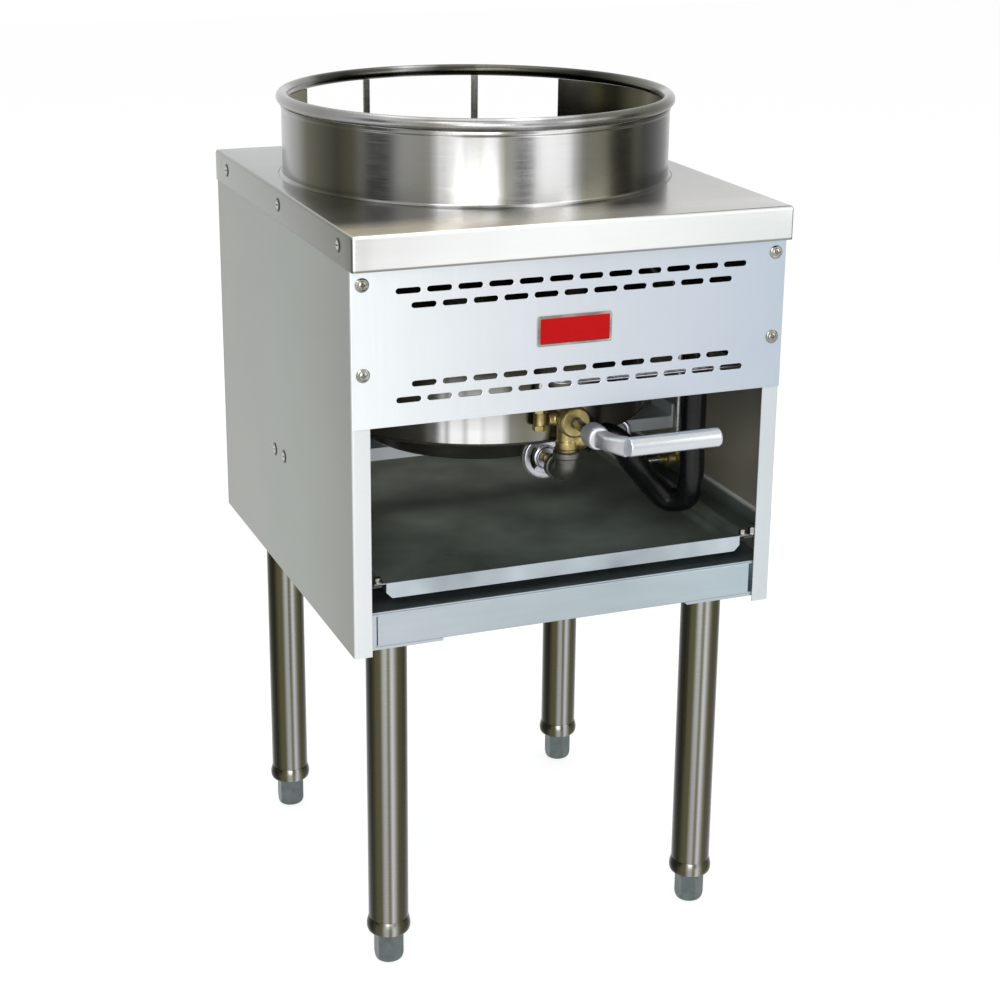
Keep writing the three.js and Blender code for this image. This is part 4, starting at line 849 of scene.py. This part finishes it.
toward = edge_at(0.0) - RING_AXIS
toward /= np.linalg.norm(toward, axis=1, keepdims=True)
opening = np.asarray(RING_AXIS) + (RING_SEAT + 0.3) * toward
phi = np.linspace(0, np.pi / 2, 6)
steps = np.array(folded(DECK_BEND, phi) + [
    (0, DECK_LOW + 0.4), (-0.4, DECK_LOW), (-SHEET + 0.4, DECK_LOW), (-SHEET, DECK_LOW + 0.4)]
    + folded(DECK_BEND - SHEET, phi[::-1]))
inner = [opening * (1 - t) + edge_at(-DECK_BEND) * t for t in np.linspace(0, 1, 4)[:-1]]
columns = [at_height(edge, DECK_TOP) for edge in inner]
columns += [at_height(edge_at(offset), level) for offset, level in steps]
columns += [at_height(edge, DECK_TOP - SHEET) for edge in inner[::-1]]
piece("deck", [shell(np.stack(columns, axis=1))], DECK, "deck_steel",
      replaces=["top_cover"], crease=28)
print("deck grid", len(opening), "x", len(columns))

# %% Side panels
PANEL_TOP, CABINET_LOW = 794.0, 375.0
SIDE_HALF, SIDE_FRONT, SIDE_BACK, SIDE_RETURN = 228.5, -247.5, 246.0, 210.0
skin, front, back = SIDE_HALF - SHEET, SIDE_FRONT + SHEET, SIDE_BACK - SHEET
for side, word in SIDES:
    section = np.array([
        (SIDE_RETURN, SIDE_FRONT), (SIDE_HALF, SIDE_FRONT), (SIDE_HALF, SIDE_BACK),
        (SIDE_RETURN, SIDE_BACK), (SIDE_RETURN, back), (skin, back), (skin, front),
        (SIDE_RETURN, front)]) * [side, 1]
    outline = rounded(section, [0.3, 2.5, 2.5, 0.3, 0.3, 1.0, 1.0, 0.3], 7)
    piece("side_" + word, [drawn(outline, "z", CABINET_LOW, PANEL_TOP)], SIDE, "side_steel",
          replaces=[word + "_side_panel"], crease=20)
print("side panels 2")

# %% [markdown]
# ## The slotted front panel
# Forty-six slots are punched through the panel. Booleans of that many holes are slow and
# leave thin faces, but Blender's flat curves fill an outline and leave out the closed curves
# inside it, with a small bevel for the punched edge. The outlines are computed, and the
# curve is then made a mesh.

# %% Front panel
def plate(name, outline, holes, thick, bevel, front, material, slot, **extra):
    """An outline in x and z with holes, filled as a flat curve of the given thickness whose
    front face stands at y = front."""
    curve = bpy.data.curves.new(name + "_outline", "CURVE")
    curve.dimensions, curve.fill_mode = "2D", "BOTH"
    curve.extrude = thick / 2 - bevel
    curve.bevel_depth, curve.bevel_resolution, curve.offset = bevel, 1, -bevel
    for points in (outline, *holes):
        spline = curve.splines.new("POLY")
        spline.points.add(len(points) - 1)
        flat = np.column_stack([points, np.zeros(len(points)), np.ones(len(points))])
        spline.points.foreach_set("co", flat.ravel())
        spline.use_cyclic_u = True
    helper = bpy.data.objects.new(name + "_helper", curve)
    scene.collection.objects.link(helper)
    bpy.context.view_layer.update()
    mesh = bpy.data.meshes.new_from_object(helper)
    points = np.zeros(len(mesh.vertices) * 3)
    mesh.vertices.foreach_get("co", points)
    across, up, toward = points.reshape(-1, 3).T
    upright = np.column_stack([across, front + thick / 2 - toward, up])
    faces = [list(face.vertices) for face in mesh.polygons]
    bpy.data.objects.remove(helper)
    bpy.data.curves.remove(curve)
    bpy.data.meshes.remove(mesh)
    return piece(name, [(upright, outward(upright, faces))], material, slot, **extra)


SLOT_LONG, SLOT_HIGH, SLOT_PITCH = 25.0, 5.7, 31.2
SLOT_ROWS = ((741.6, 12), (727.0, 11), (650.5, 11), (635.5, 12))
PANEL_HALF, PANEL_LOW, PANEL_FRONT = 228.2, 610.0, -249.0


def slot_hole(x, z):
    """A slot with half-round ends, run round clockwise: two arcs of radius h / 2."""
    arc = np.linspace(np.pi / 2, -np.pi / 2, 9)
    reach, end = (SLOT_LONG - SLOT_HIGH) / 2, SLOT_HIGH / 2
    right = np.column_stack([x + reach + end * np.cos(arc), z + end * np.sin(arc)])
    left = np.column_stack([x - reach - end * np.cos(arc), z - end * np.sin(arc)])
    return np.concatenate([right, left])


slots = [slot_hole((i - (count - 1) / 2) * SLOT_PITCH, z)
         for z, count in SLOT_ROWS for i in range(count)]
panel_outline = rounded([(-PANEL_HALF, PANEL_LOW), (PANEL_HALF, PANEL_LOW),
                         (PANEL_HALF, PANEL_TOP), (-PANEL_HALF, PANEL_TOP)], 0.8)
plate("slotted_panel", panel_outline, slots, SHEET, 0.35, PANEL_FRONT, FRONT,
      "front_steel", replaces=["front_panel"], crease=5)
fold = drawn(rounded([(PANEL_FRONT + 0.75, PANEL_LOW), (-232.5, PANEL_LOW),
                      (-232.5, PANEL_LOW + SHEET), (PANEL_FRONT + 0.75, PANEL_LOW + SHEET)],
                     0.3), "x", -209.7, 209.7)
piece("panel_fold", [fold], FRONT, "front_steel")
print("slots:", len(slots))

# %% [markdown]
# ## Screws and bolts
# The panel is held by cross-headed screws in dished washers. One head is a grid in polar
# coordinates whose height is a dome less a cross-shaped hollow, so no cutting is needed.
# Every screw is the same grid, turned to its wall.

# %% Screws
def screw_head(radius=4.2, dome=1.7, cross=2.4, slot=0.55):
    """The height over the seat is dome sqrt(1 - (r/R)^2 / 1.15) less a cross: the hollow is
    deep where |x| or |y| is under the slot's half width and the other is under its reach."""
    around, foot, depth = 40, -0.6, 1.1
    r = np.linspace(0, radius, 15)[None, :] * np.ones((around, 1))
    a = np.linspace(0, 2 * np.pi, around, endpoint=False)[:, None]
    x, y = r * np.cos(a), r * np.sin(a)

    def arm(p, q):
        """1 inside one arm of the cross, with a slope to 0 at its sides and ends."""
        return (np.clip((slot - np.abs(p)) / 0.25, 0, 1)
                * np.clip((cross - np.abs(q)) / 0.4, 0, 1))

    rise = dome * np.sqrt(1 - (r / radius) ** 2 / 1.15) - depth * np.maximum(arm(x, y), arm(y, x))
    skirt = np.stack([x[:, -1:], y[:, -1:], np.full((around, 1), foot)], axis=-1)
    middle = np.zeros((around, 1, 3)) + [0, 0, foot]
    return shell(np.concatenate([np.stack([x, y, rise], axis=-1), skirt, middle], axis=1))


def seated(shape, place, facing, lift=0.0):
    """Local x, y, z become two directions in the wall and the wall's outward normal."""
    points, faces = shape
    facing = np.asarray(facing, float)
    side = np.cross([0, 0, 1], facing) if abs(facing[2]) < 0.9 else np.array([1.0, 0, 0])
    turn = np.stack([side, np.cross(facing, side), facing])
    points = (points + [0, 0, lift]) @ turn + np.asarray(place, float)
    return points, outward(points, faces)


HEAD = screw_head()
LOW_HEAD = screw_head(5.4, 1.45, 3.2, 0.85)
WASHER = turned([(3.2, 0), (6.6, 0), (7.0, 0.5), (5.6, 1.5), (4.0, 1.2), (3.2, 0.6)], 0.25,
                (0, 0), around=40)
SEAT = turned([(0, -0.3), (7.2, -0.3), (7.2, 0.2), (6.2, 0.5), (0, 0.5)], 0.15, (0, 0),
              around=40)
SCREW = cast("nickel_screw", (150, 149, 142), 0.20, 420, 0.00003, 1.0, 0.34)
# The dark seat is painted shadow round each low screw head.
SEAT_SHADOW = cast("screw_shadow_seat", (48, 48, 42), 0.40, 900, 0.00003)


def screw(name, place, facing, finish):
    """A low head on a thin dark seat; the dark seat is painted shadow round the head."""
    piece(name + "_seat", [seated(SEAT, place, facing)], SEAT_SHADOW, "stem_steel", crease=30)
    piece(name, [seated(LOW_HEAD, place, facing)], finish, "stem_steel", crease=30)


PANEL_SCREWS = ((-217, 663), (-217, 750), (217, 663), (217, 750))
for number, (x, z) in enumerate(PANEL_SCREWS, 1):
    place = (x, PANEL_FRONT, z)
    piece("panel_screw_%d" % number, [seated(HEAD, place, (0, -1, 0), lift=0.9),
                                      seated(WASHER, place, (0, -1, 0))],
          SCREW, "stem_steel", crease=30)
for index, (y, z) in enumerate(((28.8, 508.4), (-6.9, 510.8))):
    for side, word in SIDES:
        screw("side_screw_%s_%d" % (word, index), (side * SIDE_HALF, y, z), (side, 0, 0),
              SIDE_SCREW_SHADE_AND_HIGHLIGHT)
for index, y in enumerate((-218, -12, 197)):
    for side, word in SIDES:
        screw("deck_screw_%s_%d" % (word, index), (side * DECK_HALF, y, 782.6), (side, 0, 0),
              DECK_SCREW_SHADE_AND_HIGHLIGHT)
print("screws on the panel:", len(PANEL_SCREWS))

# %% [markdown]
# ## Bare name plate
# A red enamelled plate in a bright bezel sits in the middle of the panel. It stays bare.

# %% Name plate
RED = cast("red_enamel", (184, 14, 18), 0.30, 900, 0.00001, 0.0, 0.04, 0.12)
PLATE_LEFT, PLATE_RIGHT, PLATE_LOW, PLATE_HIGH = -40.0, 38.0, 675.0, 705.0


def inset(border, radius, steps=4):
    """The name plate's rectangle moved in by a border, with rounded corners."""
    left, right = PLATE_LEFT + border, PLATE_RIGHT - border
    low, high = PLATE_LOW + border, PLATE_HIGH - border
    return rounded([(left, low), (right, low), (right, high), (left, high)], radius, steps)


plate("name_plate_bezel", inset(0, 1.6, 6), [inset(2.4, 1.0, 6)[::-1]], 1.6, 0.4,
      PANEL_FRONT - 1.6, SCREW, "stem_steel", crease=5)
plate("name_plate", inset(2, 0.6), [], 1.0, 0.1, PANEL_FRONT - 1.0, RED, "front_steel",
      crease=5)
print("name plate", PLATE_RIGHT - PLATE_LEFT, "x", PLATE_HIGH - PLATE_LOW, "mm")

# %% [markdown]
# ## The gas valve
# The valve is cast and turned brass on a grey malleable elbow. Each boss of it is a turned
# profile about its own axis, and they meet inside the casting, so they can simply overlap.
# Threads and sealing grooves are steps in the profiles.

# %% Valve body and bonnet
VALVE = (25.0, -175.0, 577.0)
LEVEL, UPRIGHT = (VALVE[0], VALVE[2]), VALVE[:2]      # the centres of its two main axes
BURNER_AXIS, PORT_HEIGHT = 517.0, 552.0
column = turned([
    (0, 540), (10.6, 540), (10.6, 543), (11.5, 544), (11.5, 551), (10.4, 553), (10.4, 566),
    (11.2, 570), (11.2, 577), (0, 577)], 0.7, UPRIGHT, around=64)
barrel = turned([
    (0, -188), (12.4, -188), (12.4, -186), (14, -184.5), (14, -172), (11, -167.4), (0, -167.2)],
    1.4, LEVEL, "y", 72)
port = turned([(0, 25), (9.6, 25), (9.6, 35), (11, 36.5), (11, 45), (0, 45)], 0.7,
              (VALVE[1], PORT_HEIGHT), "x", 64)
stub = turned([(0, 3), (7.2, 3), (7.2, 8), (8, 9), (8, 25), (0, 25)], 0.6, VALVE[1:], "x", 48)
piece("valve_casting", [column, barrel, port, stub], BRASS, "brass", replaces=["valve_body"])
bonnet = turned([
    (5.8, -188), (15.6, -188), (16.5, -189), (16.5, -192.6), (15.8, -193.2), (15.8, -194),
    (16.5, -194.6), (16.5, -196.4), (14.2, -199), (5.8, -199)], 0.5, LEVEL, "y", 96)
piece("valve_cap", [bonnet], BRASS, "brass", replaces=["valve_bonnet"], crease=45)
stem = turned([
    (0, -236), (5.5, -236), (5.5, -206), (4.7, -205), (4.7, -202), (5.5, -201), (5.5, -188.3),
    (0, -188.3)], 0.3, LEVEL, "y", 48)
piece("stem", [stem], STEM, "stem_steel", body="lever", replaces=["valve_stem"])
print("valve body, cap and stem")

# %% [markdown]
# ## The lever
# A forged hub sits on the stem, a flat arm runs forward from it, and a turned grip lies
# across the front. The arm is a section that changes along a short path. The section is a
# superellipse, a box with soft corners: x = a sgn(cos t)|cos t|^p, and the same with sin.

# %% Lever and grip
def superellipse(a, b, power, around=32):
    """(a sgn(cos t)|cos t|^p, b sgn(sin t)|sin t|^p): power 1 is an ellipse, 0 a box."""
    t = np.linspace(0, 2 * np.pi, around, endpoint=False)
    return np.column_stack([a * np.sign(np.cos(t)) * np.abs(np.cos(t)) ** power,
                            b * np.sign(np.sin(t)) * np.abs(np.sin(t)) ** power])


LEVER = cast("forged_aluminium", (206, 208, 212), 0.46, 420, 0.00014, 0.85)
GRIP = brushed("turned_aluminium", (206, 210, 214), 0.28, (30, 900, 900), 0.02, 0.03, bump=0.004)
hub = turned([(0, -236), (11.6, -236), (12.5, -238), (12.5, -253), (10.8, -257), (0, -258)],
             [0.01, 1, 1.4, 2.6, 1.6, 0.01], LEVEL, "y", 72, steps=6)
button = turned([(0, -257), (4.6, -257), (4.6, -259.2), (3.6, -260), (0, -260)], 0.4, LEVEL,
                "y", 36, hexed(4.6))
t = np.linspace(0, 1, 13)[:, None]
start, bend, end = np.array([(25.0, -249.0, 577.0), (28.0, -272.0, 577.0),
                             (40.6, -289.4, 577.0)])
swell = np.sin(np.pi * t[:, 0]) ** 2
arm_sections = np.stack([superellipse(7.2 + 1.6 * s + 1.2 * k, 9.4 - 1.6 * s, 0.55)
                         for s, k in zip(swell, t[:, 0])])
arm = carried(arm_sections, bowed(t, start, bend, end), reference=(0, 0, 1))
piece("lever_forging", [hub, arm, button], LEVER, "aluminium", body="lever",
      replaces=["valve_lever"], crease=42)
grip = turned([(0, 40), (9.4, 40), (10, 41), (10, 137.6), (8.4, 140), (0, 140)],
              [0.01, 0.5, 0.6, 1.4, 1.2, 0.01], (-290.0, VALVE[2]), "x", 72, steps=6)
piece("grip", [grip], GRIP, "aluminium", body="lever", replaces=["lever_grip"], crease=42)
print("lever arm stations:", len(t))

# %% [markdown]
# ## Elbow, spud and air shutter
# The elbow is a round section carried down and round a bend, with a bead at each end. The
# shutter is a cast disc with two kidney openings: an inner ring, an outer ring and two
# sectors between them leave the openings free, so nothing has to be cut.

# %% Elbow and spud
def bent(points, bend, steps=9):
    """Straight runs joined by bends: at each inner corner P the path goes from E to L, the
    points at the bend's reach from P."""
    corner = np.asarray(points, float)
    inner = corner[1:-1]
    back, ahead = corner[:-2] - inner, corner[2:] - inner
    back /= np.linalg.norm(back, axis=1, keepdims=True)
    ahead /= np.linalg.norm(ahead, axis=1, keepdims=True)
    arcs = bowed(np.linspace(0, 1, steps)[None, :, None], (inner + bend * back)[:, None],
                 inner[:, None], (inner + bend * ahead)[:, None])
    return np.concatenate([corner[:1], arcs.reshape(-1, 3), corner[-1:]])


BURNER_LEVEL = (25.0, BURNER_AXIS)
elbow = carried(circle(11.8, 40),
                bent([(25, -175, 539), (25, -175, 517), (25, -149, 517)], 14, 12), (1, 0, 0))
bead = turned([(0, 533), (13, 533), (14, 534.4), (14, 540), (11, 540), (0, 539.6)], 0.9,
              UPRIGHT, around=64)
rear_bead = turned([(0, -155), (13, -155), (14, -153.6), (14, -148), (0, -148)], 0.9,
                   BURNER_LEVEL, "y", 64)
piece("elbow", [elbow, bead, rear_bead], MALLEABLE, "malleable", replaces=["valve_elbow"])
spud = turned([(0, -148), (9, -148), (9, -139), (7.6, -138), (5, -135), (5, -113.4),
               (0, -113.3)], 0.4, BURNER_LEVEL, "y", 48, hexed(9.0))
piece("spud", [spud], BRASS, "brass", replaces=["orifice_spud"], crease=25)
print("elbow and spud")

# %% Air shutter
def sector(profile, low, high, steps=16):
    """A profile of [radius, y] turned about the burner's axis only between two angles."""
    profile = np.asarray(profile, float)
    angle = np.radians(np.linspace(low, high, steps))[:, None]
    radius = profile[None, :, 0]
    height = np.broadcast_to(profile[None, :, 1], (steps, len(profile)))
    return shell(laid("y", BURNER_LEVEL[0] + radius * np.cos(angle),
                      BURNER_LEVEL[1] + radius * np.sin(angle), height), closed=False)


def webs(low, high, back, front):
    """The two webs between an inner and an outer ring, above and below."""
    section = [(low, back), (high, back), (high, front), (low, front)]
    return [sector(section, 45, 135), sector(section, 225, 315)]


SHUTTER_BACK, SHUTTER_FACE = -117.3, -121.3
SHUTTER = cast("shutter_casting", (206, 207, 216), 0.32, 380, 0.00016)
inner_ring = turned([(5.3, SHUTTER_BACK), (13, SHUTTER_BACK), (13, SHUTTER_FACE),
                     (11, SHUTTER_FACE - 0.4), (11, -125.3), (5.3, -125.3)], 0.5,
                    BURNER_LEVEL, "y", 72)
outer_ring = turned([(17.8, SHUTTER_BACK), (24, SHUTTER_BACK), (24, -121.0),
                     (22.9, SHUTTER_FACE), (17.8, SHUTTER_FACE)], 0.6, BURNER_LEVEL, "y")
piece("shutter_casting", [inner_ring, outer_ring,
                          *webs(12.6, 18.2, SHUTTER_BACK + 0.1, -120.4)],
      SHUTTER, "aluminium", body="shutter", replaces=["air_shutter"])
mouth = turned([(15.2, -98), (23, -105), (23, -112), (25, -113.2), (25, -116.9),
                (20.5, -116.9), (20.5, -106), (12.5, -98)],
               [0.4, 2, 1, 1, 0.6, 0.4, 2, 0.4], BURNER_LEVEL, "y", steps=5)
plate_hub = turned([(8, -114.6), (13, -114.6), (13, -116.9), (8, -116.9)], 0.3,
                   BURNER_LEVEL, "y", 48)
piece("mixing_mouth", [mouth, plate_hub, *webs(12.6, 21, -114.7, -116.8)], MOUTH, "iron")
print("air shutter and mouth")

# %% [markdown]
# ## Gas pipe and union
# The black supply pipe drops from the union, turns tightly and climbs behind the panel. Its
# centre line is a smooth curve through the plumber's points: between two points the
# centripetal Catmull-Rom spline keeps the bends tight without loops.

# %% Supply pipe
def through(points, steps=10):
    """Centripetal Catmull-Rom: knots t grow by the square root of the distance, and each
    span is blended twice from straight lines, as Barry and Goldman do."""
    p = np.asarray(points, float)
    p = np.concatenate([[2 * p[0] - p[1]], p, [2 * p[-1] - p[-2]]])
    knots = np.concatenate([[0], np.cumsum(np.sqrt(np.linalg.norm(np.diff(p, axis=0), axis=1)))])
    count = len(p) - 3
    t0, t1, t2, t3 = (knots[k:k + count, None, None] for k in range(4))
    p0, p1, p2, p3 = (p[k:k + count, None, :] for k in range(4))
    t = t1 + (t2 - t1) * np.linspace(0, 1, steps, endpoint=False)[None, :, None]
    a1 = (t1 - t) / (t1 - t0) * p0 + (t - t0) / (t1 - t0) * p1
    a2 = (t2 - t) / (t2 - t1) * p1 + (t - t1) / (t2 - t1) * p2
    a3 = (t3 - t) / (t3 - t2) * p2 + (t - t2) / (t3 - t2) * p3
    b1 = (t2 - t) / (t2 - t0) * a1 + (t - t0) / (t2 - t0) * a2
    b2 = (t3 - t) / (t3 - t1) * a2 + (t - t1) / (t3 - t1) * a3
    curve = (t2 - t) / (t2 - t1) * b1 + (t - t1) / (t2 - t1) * b2
    return np.concatenate([curve.reshape(-1, 3), p[-2:-1]])


def tube(name, radius, around, path, reference, material, slot, node):
    """A pipe takes the place of the frame's plain one."""
    piece(name, [carried(circle(radius, around), path, reference)], material, slot,
          replaces=[node])


PIPE_POINTS = [
    (65.3, -175, 552), (70, -175, 552), (85, -174, 543), (106, -168, 516), (132, -162, 486),
    (149, -166, 470), (162, -180, 476), (164, -186, 498), (164, -186, 540), (164, -186, 630),
    (167, -180, 665), (184, -158, 684), (199, -130, 689), (210, -95, 690), (210, -40, 690),
    (210, 30, 690), (210, 70, 690), (200, 125, 690), (186, 175, 690), (186, 215.7, 690)]
pipe_path = through(PIPE_POINTS)
tube("black_pipe", 13.35, 40, pipe_path, (0.36, 0.28, 0.89), BLACK_PIPE, "black_pipe",
     "supply_pipe")
MIXING_POINTS = [(25, -102, 517), (25, -77, 517), (21.1, -58.3, 517), (12.5, -45.5, 517),
                 (3.9, -32.7, 517), (0, -14, 517), (0, -4, 517), (0, 7.5, 519.3),
                 (0, 17.2, 525.8), (0, 23.7, 535.5), (0, 26, 547), (0, 26, 590)]
tube("mixing_pipe", 15.0, 40, through(MIXING_POINTS), (1, 0, 0), IRON, "iron", "mixing_tube")
union = turned([(0, 45), (12, 45), (13, 46), (13, 48), (16, 49.4), (16, 60), (13.4, 61.4),
                (13.4, 65), (0, 65)], 0.7, (VALVE[1], PORT_HEIGHT), "x", 72, hexed(16.0))
piece("union_nut", [union], BLACK_PIPE, "black_pipe", replaces=["inlet_union"], crease=25)
length = np.linalg.norm(np.diff(pipe_path, axis=0), axis=1).sum()
print("supply pipe", round(length), "mm along its centre line")

# %% Pilot parts
take_off = turned([(0, 566), (8, 566), (8, 571), (6.6, 572), (6.6, 584), (8, 585), (8, 590),
                   (5, 593), (0, 593)], 0.5, (-5.0, -175.0), around=48, reach=hexed(8.0))
piece("take_off", [take_off], BRASS, "brass", replaces=["pilot_take_off"], crease=25)
FEED_POINTS = [(-5, -175, 593), (-5, -175, 626), (-5, -212, 626), (210, -212, 626),
               (210, -60, 626), (210, -60, 491)]
tube("feed_tube", 3.0, 16, bent(FEED_POINTS, 14), (0.51, 0.62, 0.59), ALUMINIUM, "aluminium",
     "pilot_feed_tube")
PILOT_POINTS = [(188, -60, 477), (150, -60, 477), (150, -60, 526), (62, -2, 526), (62, -2, 600)]
tube("pilot_line", 3.0, 16, bent(PILOT_POINTS, 14), (0.51, 0.82, -0.29), ALUMINIUM,
     "aluminium", "pilot_tube")
cock = turned([(0, 188), (5, 188), (5, 196), (9, 197), (9, 206), (7.6, 207.4), (7.6, 214),
               (9, 215.4), (9, 227), (0, 227)], 0.6, (-60, 477), "x", 48)
riser = turned([(0, 477), (6, 477), (6, 491), (0, 491)], 0.6, (210, -60), around=36)
piece("pilot_cock", [cock, riser], BRASS, "brass", replaces=["pilot_valve"])
tip = turned([(0, 600), (5, 600), (5, 632), (3, 640), (0, 640)], 0.6, (62, -2), around=32)
piece("pilot_tip", [tip], BRASS, "brass", replaces=["pilot_burner"])
print("pilot parts 5")

# %% [markdown]
# ## Burner
# The iron head carries a brass crown with two rings of jets. They are seen from above
# through the ring. One jet is a turned profile, and its copies are moved round by adding
# the centre of each to the same points.

# %% Burner head, crown and jets
head = turned([(0, 590), (20, 590), (20, 599), (52, 604), (58, 608), (58, 618), (56, 622),
               (0, 622)], 1.2, RING_AXIS)
piece("burner_casting", [head], IRON, "iron", replaces=["burner_head"])
jet, jet_faces = turned([(0, 623), (4.5, 623), (4.5, 634.6), (3.2, 639), (1.2, 639),
                         (1.2, 636.5), (0, 636.5)], 0.3, (0, 0), around=18)
parts = [turned([(14, 622), (55, 622), (55, 625), (14, 625)], 0.5, RING_AXIS)]
for radius, number in ((46, 16), (27, 8)):
    for angle in 2 * np.pi * np.arange(number) / number:
        centre = [radius * math.cos(angle), RING_AXIS[1] + radius * math.sin(angle), 0]
        parts.append((jet + centre, jet_faces))
piece("crown_and_jets", parts, BRASS, "brass", replaces=["jet_crown"])
print("jets:", len(parts) - 1)

# %% [markdown]
# ## Drip tray
# The tray is a pan with folded sides that hangs by its side flanges. Its front lip has a
# hemmed edge, and the bright face of the lip is painted light. The pan's outline across is
# drawn out to its depth, and the two ends are plates with the same outline.

# %% Drip tray
TRAY_HALF, TRAY_LOW, TRAY_HIGH, TRAY_FRONT, TRAY_BACK = 194.0, 433.0, 449.0, -244.0, 200.0
TRAY_FLANGE, TRAY_SHEET = 206.0, 1.2


def mirrored(right):
    """An outline's right half, then the same points with x turned round, in reverse."""
    return right + [(-x, z) for x, z in right[::-1]]


foot = [(TRAY_HALF - 6, TRAY_LOW), (TRAY_HALF, TRAY_LOW + 6)]
pan = [(TRAY_HALF, TRAY_HIGH - TRAY_SHEET), (TRAY_FLANGE, TRAY_HIGH - TRAY_SHEET),
       (TRAY_FLANGE, TRAY_HIGH), (TRAY_HALF - TRAY_SHEET, TRAY_HIGH),
       (TRAY_HALF - TRAY_SHEET, TRAY_LOW + 6.5), (TRAY_HALF - 6.5, TRAY_LOW + TRAY_SHEET)]
across = rounded(mirrored(foot + pan), 0.5, 3)
end = rounded(mirrored(foot + [(TRAY_HALF, TRAY_HIGH)]), 0.5, 3)
hem = carried(superellipse(1.15, 1.5, 0.7, 20),
              [(side * TRAY_HALF, TRAY_FRONT + TRAY_SHEET, TRAY_HIGH - 1.5)
               for side in (-1, 1)], reference=(0, 0, 1))
piece("tray", [drawn(across, "y", TRAY_FRONT + 1.0, TRAY_BACK),
               drawn(end, "y", TRAY_FRONT, TRAY_FRONT + TRAY_SHEET),
               drawn(end, "y", TRAY_BACK - TRAY_SHEET, TRAY_BACK), hem], TRAY, "galvanised",
      body="tray", replaces=["drip_tray"], crease=30)
print("tray", 2 * TRAY_HALF, "mm wide")

# %% Runners and bolts
RUN_IN, RUN_OUT, RUN_LOW, RUN_HIGH = 199.0, 227.0, 446.0, 467.5
for side, word in SIDES:
    runner = np.array([(RUN_IN, RUN_LOW), (RUN_OUT, RUN_LOW), (RUN_OUT, RUN_HIGH),
                       (RUN_OUT - SHEET, RUN_HIGH), (RUN_OUT - SHEET, RUN_LOW + SHEET),
                       (RUN_IN, RUN_LOW + SHEET)]) * [side, 1]
    outline = rounded(runner, [0.3, 1.6, 0.5, 0.5, 0.6, 0.3])
    piece("runner_" + word, [drawn(outline, "y", *SIDE_RUN)], RUNNER_SHADE_AND_HIGHLIGHT, "galvanised",
          replaces=["tray_runner_" + word], crease=25)


def bolt(name, place, facing, across, high, body=CABINET):
    """A hexagon head on a round washer."""
    head = turned([(0, 0.8), (across, 0.8), (across, high), (across - 1, high + 0.6),
                   (0, high + 0.6)], 0.4, (0, 0), around=48, reach=hexed(across))
    washer = turned([(0, 0), (across + 1.4, 0), (across + 1.4, 0.9), (0, 0.9)], 0.25, (0, 0),
                    around=40)
    piece(name, [seated(part, place, facing) for part in (head, washer)], SCREW,
          "stem_steel", body=body, crease=25)


for side, word in SIDES:
    bolt("runner_bolt_" + word, (side * 211.8, -238, RUN_LOW + SHEET), (0, 0, 1), 4.2, 7.4)
    bolt("tray_bolt_" + word, (side * 200.8, -237.5, TRAY_HIGH), (0, 0, 1), 3.8, 4.6, "tray")
for word, (x, y) in LEG_PLACES.items():
    for k, (dx, dy) in enumerate(((0.0285, 0.0), (0.0, 0.0305))):
        place = ((x - math.copysign(dx, x)) / MM, (y - math.copysign(dy, y)) / MM, 380.5)
        bolt("plate_nut_%s_%d" % (word, k), place, (0, 0, -1), 5.6, 4.2)
print("runners 2, bolts", 2 * len(SIDES) + 2 * len(LEG_PLACES))
